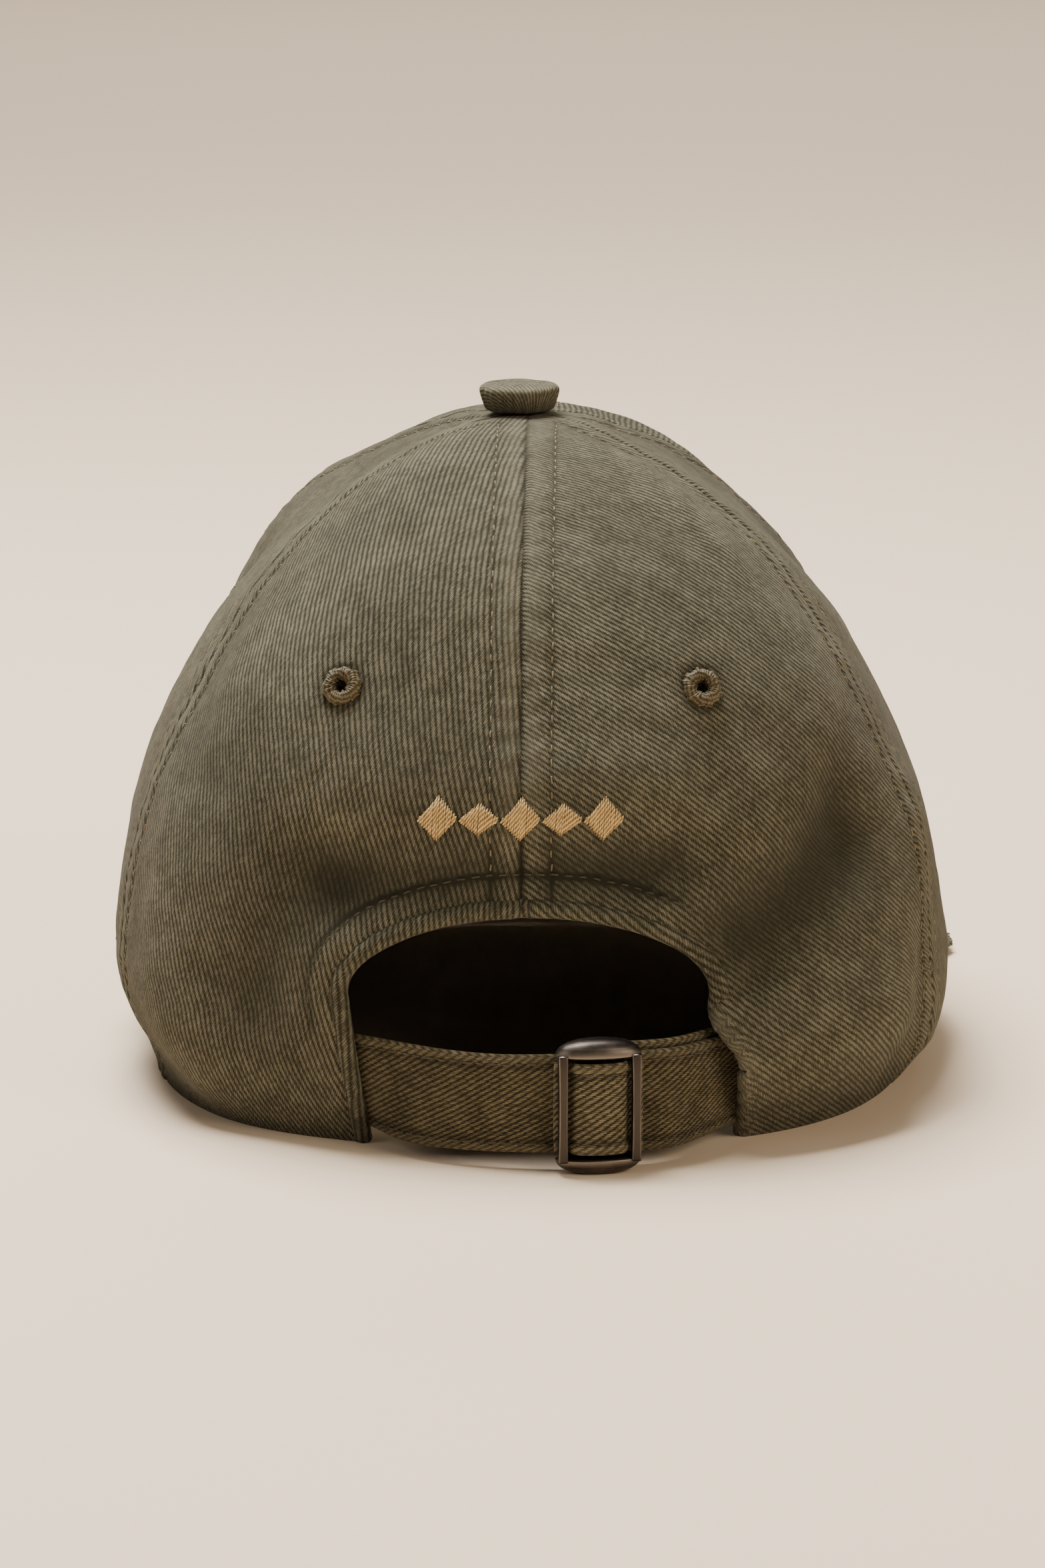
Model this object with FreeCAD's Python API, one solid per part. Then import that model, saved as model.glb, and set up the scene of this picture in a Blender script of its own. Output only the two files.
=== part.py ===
import FreeCAD, Part
import math
import os

os.makedirs("parts", exist_ok=True)

# A soft six-panel baseball cap with a curved visor and a strap-and-buckle closure.
# Millimetres. +Z is up, +Y is to the visor, +X is to the wearer's right.
# The origin is the centre of the head opening, on the plane that the rim rests on.

# ---- driving dimensions -------------------------------------------------------------

HALF_WIDTH = 90.0          # crown, at its widest level
REAR_LENGTH = 99.8         # from the centre to the back of the crown
FRONT_LENGTH = 102.4       # from the centre to the front of the crown
REAR_SQUARENESS = 2.64     # exponent of the rear half's plan outline, 2 is an ellipse
CROWN_HEIGHT = 138.1
WIDEST_LEVEL = 26.2        # height of the widest level
RIM_SCALE = 0.908          # size of the rim against the widest level
SIDE_FULLNESS = 1.79       # exponents of the vertical profile above the widest level
REAR_FULLNESS = 2.42
FRONT_FULLNESS = 2.74
RIM_ALLOWANCE = 0.4        # the panels are made this much deeper, then trimmed level
APEX_SCALE = 0.021         # where the panels stop, under the button
FRONT_RISE = 20.0          # the rim arches up by this much at the front centre
VISOR_CORNER = 22.0        # plan angle where the visor leaves the rim, from the side

PANEL_THICKNESS = 1.2
SEAM_REAR_SIDE_RIM = -16.6     # plan angles of the seams, 0 is the right, 90 the front
SEAM_REAR_SIDE_TOP = -21.4
SEAM_SIDE_FRONT = 33.0

TAPE_WIDTH = 13.0
TAPE_END_SCALE = 0.16          # the tapes stop short of the button's washer
TAPE_DEPTHS = (2.2, 2.8)       # depths are measured inwards from the crown's outer face
BACKING_DEPTHS = (1.5, 2.0)
FACING_DEPTHS = (1.3, 2.0)
PADDING_DEPTHS = (4.2, 4.9)
SWEATBAND_DEPTHS = (5.1, 6.0)
SWEATBAND_HEIGHT = 30.0
SWEATBAND_SPAN = (-55.5, 246.0)     # plan angles of its two ends
PADDING_SPAN = (25.0, 155.0)
PADDING_MARGIN = 4.0           # from the sweatband's lower and upper edge
BACKING_MARGIN = 2.0           # angle between the backing and the side seams
BACKING_TOP = 108.0
LABEL_ANGLE = 212.0
LABEL_HALF_SPAN = 9.0
LABEL_LEVELS = (5.0, 27.0)
LABEL_DEPTHS = (6.3, 6.7)

OPENING_LEFT_FOOT = -31.5      # the closure opening in the back
OPENING_RIGHT_FOOT = 46.0
OPENING_CENTRE = 1.7
OPENING_HALF_WIDTH = 37.8
OPENING_SPRING = 33.5          # height where the arch starts
OPENING_RISE = 17.2
FACING_WIDTH = 9.0
FACING_SPAN = (220.0, 325.0)   # plan angles that take in the whole opening
FACING_TOP = 75.0

EYELET_RADIUS = 4.2
EYELET_HOLE_RADIUS = 1.2
EYELET_HEIGHT = 94.0
EYELET_THICKNESS = 2.2
EYELET_ANGLES = {"rear": -67.9, "side": 19.5, "front": 63.0}

STRAP_WIDTH = 20.0
STRAP_THICKNESS = 1.4
STRAP_LEVEL = 13.9             # height of its centre line in the buckle
STRAP_CENTRE = (7.0, -48.5)    # vertical axis that the strap bows around
STRAP_RADIUS = 59.5            # to its outer face
TAB_THICKNESS = 1.1
TAB_WIDTH = 18.0
TAB_GAP = 0.5                  # from the strap's inner face to the tab
TAB_RAISE = 1.0                # the tab lies a little above the strap's centre line
BOW_STEP = 8.0                 # angle between the poles of the bow
STRAP_BOW = (-31.6, 24.4)      # first and last angle of the bow's poles
TAB_BOW = (0.4, 24.4)
HIDDEN_DEPTH = 2.5             # the strap's hidden ends lie this far inside the crown
STRAP_HIDDEN_STEPS = (6.0, 12.0, 18.0)     # poles of a hidden end, past the opening's edge
TAB_HIDDEN_STEPS = (3.5, 6.5)

BUCKLE_ANGLE = 8.4             # from straight back, about the strap's axis
BUCKLE_WIDTH = 17.5
BUCKLE_HEIGHT = 26.6
BUCKLE_RAIL = 2.0
BUCKLE_WINDOW = 20.9
BUCKLE_BACK = -2.4             # back and front of the caps, from the strap's outer face
BUCKLE_FRONT = 4.9
RAIL_FACES = (2.1, 4.5)
BUCKLE_ARCH_RADIUS = 17.0      # of the caps' outline seen from behind
RAIL_INSET = 0.3               # the rails' outer faces, inside the caps' ends
RAIL_OVERLAP = 1.2             # the rails run into the caps to this far from their tops
BAR_WIDTH = 2.6
BAR_FACES = (0.45, 2.05)
BAR_ROUNDING = 0.6
HUMP_THICKNESS = 1.2           # the strap's stretch over the bar
HUMP_LINE = ((-8.6, 0.3), (-6.6, 0.3), (-5.0, 0.9), (-3.4, 2.3), (-1.8, 2.9), (0.0, 3.1),
             (1.8, 2.9), (3.4, 2.3), (5.0, 0.9), (6.6, 0.3), (8.6, 0.3))

BUTTON_RADIUS = 8.75
BUTTON_OFFSET = -2.0           # the button sits a little left of the seam
BUTTON_SEAT = 139.2
BUTTON_HEIGHT = 5.8
BUTTON_FOOT_SCALE = 0.82       # its foot against its upper edge
BUTTON_CROWNING = 0.7          # rise of its top from the edge to the middle
RIVET_RADIUS = 1.5
RIVET_HEAD_RADIUS = 4.5
RIVET_HEAD_THICKNESS = 0.5
WASHER_RADIUS = 5.0
WASHER_THICKNESS = 0.8
WASHER_DROP = 3.4              # the washer's underside, below the top of the crown

VISOR_HALF_WIDTH = 97.0
VISOR_WIDEST = 72.0            # how far forward the visor is widest
VISOR_TIP = 168.0
VISOR_TIP_LEVEL = 25.0
VISOR_SIDE_LEVEL = 0.6
VISOR_ROUNDNESS = 2.15
VISOR_LAYERS = {
    "visor_under_cover": (0.0, 0.8),
    "visor_board": (0.9, 2.7),
    "visor_top_cover": (2.8, 3.6),
}
VISOR_SEAM_GAP = 0.6           # from the crown's outer face to the visor's inner edge
VISOR_BOARD_INSET = 0.03       # the board stops short of the covers' edge
VISOR_BOW = 4.0                # how far its middle stands above a straight line to the edge
VISOR_TUCK = 1.2               # its inner edge lies this far below the crown's rim

EMBROIDERY_LEVEL = 70.0
EMBROIDERY_HALF_LENGTH = 21.0
EMBROIDERY_HALF_HEIGHT = 4.2
EMBROIDERY_COUNT = 5
EMBROIDERY_DEPTHS = (-0.7, -0.05)      # it stands proud of the crown
EMBROIDERY_SHEET_REACH = 12.0          # half height of the sheet that the lozenges are cut from
LOZENGE_FILL = 0.42                    # half length of a lozenge, as a share of their pitch
SMALL_LOZENGE = 0.6                    # height of every second lozenge against the others


# ---- the crown's shape --------------------------------------------------------------

def signed_power(value, exponent):
    return math.copysign(abs(value) ** exponent, value)


def smooth_step(value):
    value = min(max(value, 0.0), 1.0)
    return value * value * (3.0 - 2.0 * value)


def profile_exponent(theta):
    """Fullness of the vertical profile in the direction theta."""
    forward = math.sin(theta)
    end = REAR_FULLNESS if forward < 0.0 else FRONT_FULLNESS
    return SIDE_FULLNESS * (1.0 - forward ** 2) + end * forward ** 2


def level_scale(level):
    """Size of the crown's outline at a height below the widest level."""
    return 1.0 - (1.0 - RIM_SCALE) * ((WIDEST_LEVEL - level) / WIDEST_LEVEL) ** 2


def crown_section(theta, row):
    """Scale and height of a row: -1 is the rim, 0 the widest level, 1 the apex."""
    if row < 0.0:
        level = WIDEST_LEVEL * (1.0 + row)
        return level_scale(level), level
    scale = math.cos(row * math.pi / 2.0)
    exponent = profile_exponent(theta)
    rise = max(1.0 - scale ** exponent, 0.0) ** (1.0 / exponent)
    return scale, WIDEST_LEVEL + (CROWN_HEIGHT - WIDEST_LEVEL) * rise


def crown_point(theta, row, depth=0.0):
    """A point on the crown, or depth millimetres inside it."""
    across = math.cos(theta)
    forward = math.sin(theta)
    rear = forward < 0.0
    squareness = REAR_SQUARENESS if rear else 2.0
    length = REAR_LENGTH if rear else FRONT_LENGTH
    power = 2.0 / squareness
    scale, level = crown_section(theta, row)
    point = FreeCAD.Vector(HALF_WIDTH * signed_power(across, power) * scale,
                           length * signed_power(forward, power) * scale, level)
    if depth == 0.0:
        return point
    return point - crown_normal(theta, row) * depth


def crown_normal(theta, row):
    """Outward normal of the crown, kept level along the rim."""
    across = math.cos(theta)
    forward = math.sin(theta)
    rear = forward < 0.0
    squareness = REAR_SQUARENESS if rear else 2.0
    length = REAR_LENGTH if rear else FRONT_LENGTH
    steepness = 2.0 * (squareness - 1.0) / squareness
    scale, level = crown_section(theta, row)
    normal = FreeCAD.Vector(signed_power(across, steepness) / HALF_WIDTH,
                            signed_power(forward, steepness) / length, 0.0)
    if row > 0.0:
        exponent = profile_exponent(theta)
        rise = (level - WIDEST_LEVEL) / (CROWN_HEIGHT - WIDEST_LEVEL)
        slope = (rise / scale) ** (exponent - 1.0) / (CROWN_HEIGHT - WIDEST_LEVEL)
        normal.z = slope
    return normal.normalize()


def row_at_level(theta, level):
    if level <= WIDEST_LEVEL:
        return level / WIDEST_LEVEL - 1.0
    exponent = profile_exponent(theta)
    rise = (level - WIDEST_LEVEL) / (CROWN_HEIGHT - WIDEST_LEVEL)
    scale = (1.0 - rise ** exponent) ** (1.0 / exponent)
    return math.acos(scale) * 2.0 / math.pi


def rim_level(theta):
    """Height of the crown's lower edge: flat behind, arched over the visor."""
    corner = math.sin(math.radians(VISOR_CORNER))
    return FRONT_RISE * smooth_step((math.sin(theta) - corner) / (1.0 - corner))


APEX_ROW = math.acos(APEX_SCALE) * 2.0 / math.pi


# ---- building solids from grids of poles --------------------------------------------

def spline_face(poles):
    """Face of a clamped uniform B-spline surface on a grid of poles."""
    rows = len(poles)
    columns = len(poles[0])
    degree_u = min(3, rows - 1)
    degree_v = min(3, columns - 1)

    def knots(count, degree):
        inner = count - degree - 1
        values = [float(index) for index in range(inner + 2)]
        return values, [degree + 1] + [1] * inner + [degree + 1]

    knots_u, mults_u = knots(rows, degree_u)
    knots_v, mults_v = knots(columns, degree_v)
    surface = Part.BSplineSurface()
    surface.buildFromPolesMultsKnots(poles, mults_u, mults_v, knots_u, knots_v,
                                     False, False, degree_u, degree_v)
    return surface.toShape()


def sheet_solid(outer, inner):
    """Closed solid between two grids of poles of the same size."""
    rows = len(outer)
    columns = len(outer[0])
    faces = [spline_face(outer), spline_face(inner)]
    sides = [[outer[0], inner[0]], [outer[-1], inner[-1]],
             [[outer[i][0] for i in range(rows)], [inner[i][0] for i in range(rows)]],
             [[outer[i][columns - 1] for i in range(rows)], [inner[i][columns - 1] for i in range(rows)]]]
    for side in sides:
        faces.append(spline_face(side))
    shell = Part.Shell(Part.makeShell(faces).Faces)
    shell.sewShape()
    solid = Part.Solid(shell)
    if solid.Volume < 0.0:
        solid.reverse()
    return solid


def crown_sheet(start, end, bottom, top, depths, columns=7, rows=12):
    """Sheet that follows the crown between two edges and two levels.

    start and end give a plan angle for a share of the height, bottom and top give a row
    for a plan angle, and depths are the sheet's outer and inner depth."""
    grids = []
    for depth in depths:
        grid = []
        for column in range(columns):
            line = []
            for step in range(rows):
                share = step / (rows - 1.0)
                theta = math.radians(start(share) + (end(share) - start(share)) * column / (columns - 1.0))
                row = bottom(theta) + (top(theta) - bottom(theta)) * share
                line.append(crown_point(theta, row, depth))
            grid.append(line)
        grids.append(grid)
    return sheet_solid(grids[0], grids[1])


def extruded(points, start, length):
    """Prism along +Y on a closed outline in the XZ plane."""
    vectors = [FreeCAD.Vector(x, start, z) for x, z in points]
    outline = Part.makePolygon(vectors + [vectors[0]])
    return Part.Face(outline).extrude(FreeCAD.Vector(0.0, length, 0.0))


def export(shape, name):
    if shape.ShapeType == "Compound" and len(shape.Solids) == 1:
        shape = shape.Solids[0]
    shape.exportStep("parts/" + name + ".step")
    line = "%-24s solids %d  volume %9.1f  valid %s"
    print(line % (name, len(shape.Solids), shape.Volume, shape.isValid()))


# ---- closure opening ----------------------------------------------------------------

def opening_outline(margin, foot=-5.0):
    """Arched outline of the opening, grown by a margin."""
    points = [(OPENING_RIGHT_FOOT + margin, foot), (OPENING_RIGHT_FOOT + margin, 0.0)]
    steps = 24
    for step in range(steps + 1):
        angle = math.pi * step / steps
        points.append((OPENING_CENTRE + (OPENING_HALF_WIDTH + margin) * math.cos(angle),
                       OPENING_SPRING + (OPENING_RISE + margin) * math.sin(angle)))
    points.append((OPENING_LEFT_FOOT - margin, 0.0))
    points.append((OPENING_LEFT_FOOT - margin, foot))
    return points


opening = extruded(opening_outline(0.0), -130.0, 90.0)
facing_zone = extruded(opening_outline(FACING_WIDTH), -130.0, 90.0).cut(opening)


# ---- eyelets ------------------------------------------------------------------------

def eyelet_places():
    places = {}
    for zone, angle in EYELET_ANGLES.items():
        for side, plan in (("right", angle), ("left", 180.0 - angle)):
            theta = math.radians(plan)
            row = row_at_level(theta, EYELET_HEIGHT)
            places[zone + "_" + side] = (crown_point(theta, row), crown_normal(theta, row))
    return places


def disc(centre, axis, radius, thickness):
    return Part.makeCylinder(radius, thickness, centre - axis * (thickness / 2.0), axis)


def eyelet_ring(point, normal):
    """Embroidered ring with rounded edges, set through the panel."""
    middle = point - normal * (PANEL_THICKNESS / 2.0)
    ring = disc(middle, normal, EYELET_RADIUS, EYELET_THICKNESS)
    ring = ring.cut(disc(middle, normal, EYELET_HOLE_RADIUS, EYELET_THICKNESS * 2.0))
    return ring.makeFillet(0.7, ring.Edges)


eyelets = eyelet_places()


# ---- crown panels -------------------------------------------------------------------

def rear_seam(share):
    return SEAM_REAR_SIDE_RIM + (SEAM_REAR_SIDE_TOP - SEAM_REAR_SIDE_RIM) * share


def rim_row(theta):
    return rim_level(theta) / WIDEST_LEVEL - 1.0


def panel_foot_row(theta):
    """The panels start a little under the rim, so that their edge can be trimmed level."""
    return (rim_level(theta) - RIM_ALLOWANCE * (1.0 - rim_level(theta) / FRONT_RISE)) / WIDEST_LEVEL - 1.0


def apex_row(theta):
    return APEX_ROW


def constant(value):
    return lambda share: value


def opposite(edge):
    return lambda share: 180.0 - edge(share)


PANEL_EDGES = {
    "panel_back_right": (constant(-90.0), rear_seam),
    "panel_side_right": (rear_seam, constant(SEAM_SIDE_FRONT)),
    "panel_front_right": (constant(SEAM_SIDE_FRONT), constant(90.0)),
    "panel_front_left": (constant(90.0), constant(180.0 - SEAM_SIDE_FRONT)),
    "panel_side_left": (constant(180.0 - SEAM_SIDE_FRONT), opposite(rear_seam)),
    "panel_back_left": (opposite(rear_seam), constant(270.0)),
}
PANEL_EYELETS = {"back": "rear", "side": "side", "front": "front"}

below_rim = Part.makeBox(400.0, 400.0, 20.0, FreeCAD.Vector(-200.0, -200.0, -20.0))
button_hole = Part.makeCylinder(1.8, 20.0, FreeCAD.Vector(BUTTON_OFFSET, 0.0, CROWN_HEIGHT - 10.0))

for name, (start, end) in PANEL_EDGES.items():
    zone, side = name.split("_")[1:]
    panel = crown_sheet(start, end, panel_foot_row, apex_row, (0.0, PANEL_THICKNESS), columns=13, rows=26)
    if zone == "back":
        panel = panel.cut(opening)
    point, normal = eyelets[PANEL_EYELETS[zone] + "_" + side]
    panel = panel.cut(disc(point, normal, EYELET_RADIUS + 0.05, 8.0))
    panel = panel.cut(button_hole).cut(below_rim)
    export(panel, name)

for place, (point, normal) in eyelets.items():
    export(eyelet_ring(point, normal), "eyelet_" + place)


# ---- inside the crown ---------------------------------------------------------------

def tape_end_row(theta):
    return math.acos(TAPE_END_SCALE) * 2.0 / math.pi


def tape_edges(seam, side):
    """Edges of a tape of even width along a seam."""
    def edge(share):
        theta = math.radians(seam(share))
        row = -1.0 + share * (tape_end_row(theta) + 1.0)
        centre = crown_point(theta, row)
        radius = max(math.hypot(centre.x, centre.y), 8.0)
        return seam(share) + side * math.degrees(TAPE_WIDTH / 2.0 / radius) * 0.85
    return edge


def above_opening_row(theta):
    """The centre tape starts above the opening's facing."""
    return row_at_level(theta, OPENING_SPRING + OPENING_RISE + FACING_WIDTH + 1.0)


TAPE_SEAMS = {
    "seam_tape_rear_right": (rear_seam, rim_row),
    "seam_tape_front_right": (constant(SEAM_SIDE_FRONT), rim_row),
    "seam_tape_front_centre": (constant(90.0), rim_row),
    "seam_tape_front_left": (constant(180.0 - SEAM_SIDE_FRONT), rim_row),
    "seam_tape_rear_left": (opposite(rear_seam), rim_row),
    "seam_tape_back_centre": (constant(270.0), above_opening_row),
}
for name, (seam, bottom) in TAPE_SEAMS.items():
    tape = crown_sheet(tape_edges(seam, -1.0), tape_edges(seam, 1.0), bottom, tape_end_row,
                       TAPE_DEPTHS, columns=5, rows=24)
    export(tape, name)


def level_row(level):
    """Edge of a sheet that runs level at a height."""
    return lambda theta: row_at_level(theta, level)


BACKING_SPANS = {
    "right": (SEAM_SIDE_FRONT + BACKING_MARGIN, 89.0),
    "left": (91.0, 180.0 - SEAM_SIDE_FRONT - BACKING_MARGIN),
}
for side, (start, end) in BACKING_SPANS.items():
    backing = crown_sheet(constant(start), constant(end), rim_row, level_row(BACKING_TOP),
                          BACKING_DEPTHS, columns=11, rows=18)
    point, normal = eyelets["front_" + side]
    backing = backing.cut(disc(point, normal, EYELET_RADIUS + 1.0, 12.0))
    export(backing, "front_backing_" + side)

facing_sheet = crown_sheet(constant(FACING_SPAN[0]), constant(FACING_SPAN[1]), rim_row, level_row(FACING_TOP),
                           FACING_DEPTHS, columns=17, rows=12)
export(facing_sheet.common(facing_zone), "arch_facing")


def band_bottom(theta):
    return (rim_level(theta) + 0.6) / WIDEST_LEVEL - 1.0


def band_top(theta):
    return row_at_level(theta, rim_level(theta) + SWEATBAND_HEIGHT)


def padding_bottom(theta):
    return (rim_level(theta) + PADDING_MARGIN) / WIDEST_LEVEL - 1.0


def padding_top(theta):
    return row_at_level(theta, rim_level(theta) + SWEATBAND_HEIGHT - PADDING_MARGIN)


sweatband = crown_sheet(constant(SWEATBAND_SPAN[0]), constant(SWEATBAND_SPAN[1]), band_bottom, band_top,
                        SWEATBAND_DEPTHS, columns=49, rows=7)
export(sweatband, "sweatband")
padding = crown_sheet(constant(PADDING_SPAN[0]), constant(PADDING_SPAN[1]), padding_bottom, padding_top,
                      PADDING_DEPTHS, columns=23, rows=6)
export(padding, "sweatband_padding")

label = crown_sheet(constant(LABEL_ANGLE - LABEL_HALF_SPAN), constant(LABEL_ANGLE + LABEL_HALF_SPAN),
                    level_row(LABEL_LEVELS[0]), level_row(LABEL_LEVELS[1]), LABEL_DEPTHS, columns=5, rows=5)
export(label, "care_label")


# ---- raised motif above the opening ---------------------------------------------------

motif_sheet = crown_sheet(constant(225.0), constant(315.0),
                          level_row(EMBROIDERY_LEVEL - EMBROIDERY_SHEET_REACH),
                          level_row(EMBROIDERY_LEVEL + EMBROIDERY_SHEET_REACH),
                          EMBROIDERY_DEPTHS, columns=15, rows=7)
lozenges = []
pitch = 2.0 * EMBROIDERY_HALF_LENGTH / EMBROIDERY_COUNT
for index in range(EMBROIDERY_COUNT):
    middle = -EMBROIDERY_HALF_LENGTH + pitch * (index + 0.5)
    half = pitch * LOZENGE_FILL
    height = EMBROIDERY_HALF_HEIGHT if index % 2 == 0 else EMBROIDERY_HALF_HEIGHT * SMALL_LOZENGE
    corners = [(middle - half, EMBROIDERY_LEVEL), (middle, EMBROIDERY_LEVEL - height),
               (middle + half, EMBROIDERY_LEVEL), (middle, EMBROIDERY_LEVEL + height)]
    lozenges.append(motif_sheet.common(extruded(corners, -130.0, 90.0)))
motif_solids = [solid for piece in lozenges for solid in piece.Solids]
export(Part.Compound(motif_solids), "rear_embroidery")


# ---- button -------------------------------------------------------------------------

def puck(radius, height, rounding):
    """Low button: a foot narrower than its upper edge, and a slightly domed top."""
    foot = radius * BUTTON_FOOT_SCALE
    crest = height - BUTTON_CROWNING
    outline = Part.makePolygon([FreeCAD.Vector(0.0, 0.0, 0.0), FreeCAD.Vector(foot, 0.0, 0.0),
                                FreeCAD.Vector(radius, 0.0, crest)])
    top = Part.Arc(FreeCAD.Vector(radius, 0.0, crest),
                   FreeCAD.Vector(radius * 0.5, 0.0, crest + BUTTON_CROWNING * 0.75),
                   FreeCAD.Vector(0.0, 0.0, height)).toShape()
    axis = Part.makeLine(FreeCAD.Vector(0.0, 0.0, height), FreeCAD.Vector(0.0, 0.0, 0.0))
    face = Part.Face(Part.Wire(outline.Edges + [top, axis]))
    solid = face.revolve(FreeCAD.Vector(0.0, 0.0, 0.0), FreeCAD.Vector(0.0, 0.0, 1.0), 360.0)
    level_edges = [edge for edge in solid.Edges if edge.BoundBox.ZLength < 0.01]
    upper_edge = [edge for edge in level_edges if abs(edge.BoundBox.XMax - radius) < 0.01]
    return solid.makeFillet(rounding, upper_edge)


seat = FreeCAD.Vector(BUTTON_OFFSET, 0.0, BUTTON_SEAT)
outer_puck = puck(BUTTON_RADIUS, BUTTON_HEIGHT, 1.0)
shell_puck = puck(BUTTON_RADIUS - 0.8, BUTTON_HEIGHT - 1.4, 0.7)
shell_puck.translate(FreeCAD.Vector(0.0, 0.0, 0.6))
hollow_puck = puck(BUTTON_RADIUS - 1.5, BUTTON_HEIGHT - 2.6, 0.4)
hollow_puck.translate(FreeCAD.Vector(0.0, 0.0, 1.2))
rivet_hole = Part.makeCylinder(RIVET_RADIUS + 0.1, 1.3)
button_cover = outer_puck.cut(shell_puck).cut(rivet_hole)
button_shell = shell_puck.cut(hollow_puck).cut(rivet_hole)
for piece, name in ((button_cover, "button_cover"), (button_shell, "button_shell")):
    piece.translate(seat)
    export(piece, name)


def button_cylinder(radius, low, high):
    return Part.makeCylinder(radius, high - low, FreeCAD.Vector(BUTTON_OFFSET, 0.0, low))


washer_level = CROWN_HEIGHT - WASHER_DROP
head_level = BUTTON_SEAT + 1.4
post = button_cylinder(RIVET_RADIUS, washer_level, head_level + RIVET_HEAD_THICKNESS)
head = button_cylinder(RIVET_HEAD_RADIUS, head_level, head_level + RIVET_HEAD_THICKNESS)
export(post.fuse(head).removeSplitter(), "button_rivet")
washer = button_cylinder(WASHER_RADIUS, washer_level, washer_level + WASHER_THICKNESS)
washer = washer.cut(button_cylinder(RIVET_RADIUS, washer_level - 1.0, washer_level + 2.0))
export(washer, "button_washer")


# ---- visor --------------------------------------------------------------------------

def visor_edge(share):
    """Point on the visor's outer edge; share runs from the right corner to the left."""
    angle = math.pi * share
    power = 2.0 / VISOR_ROUNDNESS
    x = VISOR_HALF_WIDTH * signed_power(math.cos(angle), power)
    y = VISOR_WIDEST + (VISOR_TIP - VISOR_WIDEST) * math.sin(angle) ** power
    drop = (x / VISOR_HALF_WIDTH) ** 2
    return FreeCAD.Vector(x, y, VISOR_TIP_LEVEL + (VISOR_SIDE_LEVEL - VISOR_TIP_LEVEL) * drop)


def visor_grid(height, inset):
    grid = []
    columns = 25
    rows = 7
    for column in range(columns):
        share = column / (columns - 1.0)
        plan = math.radians(VISOR_CORNER + (180.0 - 2.0 * VISOR_CORNER) * share)
        level = max(rim_level(plan) - VISOR_TUCK, VISOR_SIDE_LEVEL)
        inner = crown_point(plan, row_at_level(plan, level + height), -VISOR_SEAM_GAP)
        inner.z = level
        outer = visor_edge(share)
        line = []
        for row in range(rows):
            reach = (1.0 - inset) * row / (rows - 1.0)
            point = inner + (outer - inner) * reach
            bow = VISOR_BOW * reach * (1.0 - reach) * math.sin(math.pi * share)
            line.append(FreeCAD.Vector(point.x, point.y, point.z + bow + height))
        grid.append(line)
    return grid


for name, (low, high) in VISOR_LAYERS.items():
    inset = VISOR_BOARD_INSET if name == "visor_board" else 0.0
    export(sheet_solid(visor_grid(high, inset), visor_grid(low, inset)), name)


# ---- strap and tab ------------------------------------------------------------------

def rear_face(x, level):
    """Y of the crown's outer face behind, at a height below the widest level."""
    scale = level_scale(min(level, WIDEST_LEVEL))
    reach = abs(x) / (HALF_WIDTH * scale)
    return -REAR_LENGTH * scale * (1.0 - reach ** REAR_SQUARENESS) ** (1.0 / REAR_SQUARENESS)


def bowed(angle, radius):
    """Point of the strap's bow; the angle is from straight back, to the right."""
    turn = math.radians(angle)
    return STRAP_CENTRE[0] + radius * math.sin(turn), STRAP_CENTRE[1] - radius * math.cos(turn)


def pole_radius(radius, step):
    """Radius of the poles whose uniform cubic spline runs at the given radius."""
    return radius * 3.0 / (2.0 + math.cos(math.radians(step)))


def opening_edge(level, side):
    """X of the opening's edge at a height, side is -1 on the left and 1 on the right."""
    foot = OPENING_RIGHT_FOOT if side > 0.0 else OPENING_LEFT_FOOT
    spring = OPENING_CENTRE + side * OPENING_HALF_WIDTH
    return foot + (spring - foot) * level / OPENING_SPRING


def hidden_end(depth, level, side, steps):
    """Poles from the opening's edge into the gap between the crown and the sweatband."""
    edge = opening_edge(level, side)
    crossing = edge + side * 0.4
    poles = [FreeCAD.Vector(crossing, rear_face(crossing, level) + HIDDEN_DEPTH + 1.2 + depth * 1.3, level)]
    for step in steps:
        x = edge + side * step
        poles.append(FreeCAD.Vector(x, rear_face(x, level) + HIDDEN_DEPTH + 0.3 + depth * 1.15, level))
    return poles


def bow_poles(depth, level, first, last):
    radius = pole_radius(STRAP_RADIUS - depth, BOW_STEP)
    poles = []
    for step in range(int(round((last - first) / BOW_STEP)) + 1):
        x, y = bowed(first + BOW_STEP * step, radius)
        poles.append(FreeCAD.Vector(x, y, level))
    return poles


def band_line(depth, level, bow, steps, left):
    """Poles of a band at one level: a bow, with a hidden end on the right and maybe the left."""
    middle = bow_poles(depth, level, bow[0], bow[1])
    right = hidden_end(depth, level, 1.0, steps)
    line = middle + [(middle[-1] + right[0]) * 0.5] + right
    if left:
        end = hidden_end(depth, level, -1.0, steps)
        line = end[::-1] + [(middle[0] + end[0]) * 0.5] + line
    return line


def band(depths, centre, width, bow, steps, left):
    """Flat band of cloth on edge, from its outer to its inner depth."""
    levels = [centre - width / 2.0 + width * step / 3.0 for step in range(4)]
    faces = [[band_line(depth, level, bow, steps, left) for level in levels] for depth in depths]
    return sheet_solid(faces[0], faces[1])


strap = band((0.0, STRAP_THICKNESS), STRAP_LEVEL, STRAP_WIDTH, STRAP_BOW, STRAP_HIDDEN_STEPS, True)
export(strap, "closure_strap")

tab_depth = STRAP_THICKNESS + TAB_GAP
tab_depths = (tab_depth, tab_depth + TAB_THICKNESS)
export(band(tab_depths, STRAP_LEVEL + TAB_RAISE, TAB_WIDTH, TAB_BOW, TAB_HIDDEN_STEPS, False), "buckle_tab")


# ---- buckle -------------------------------------------------------------------------

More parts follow.
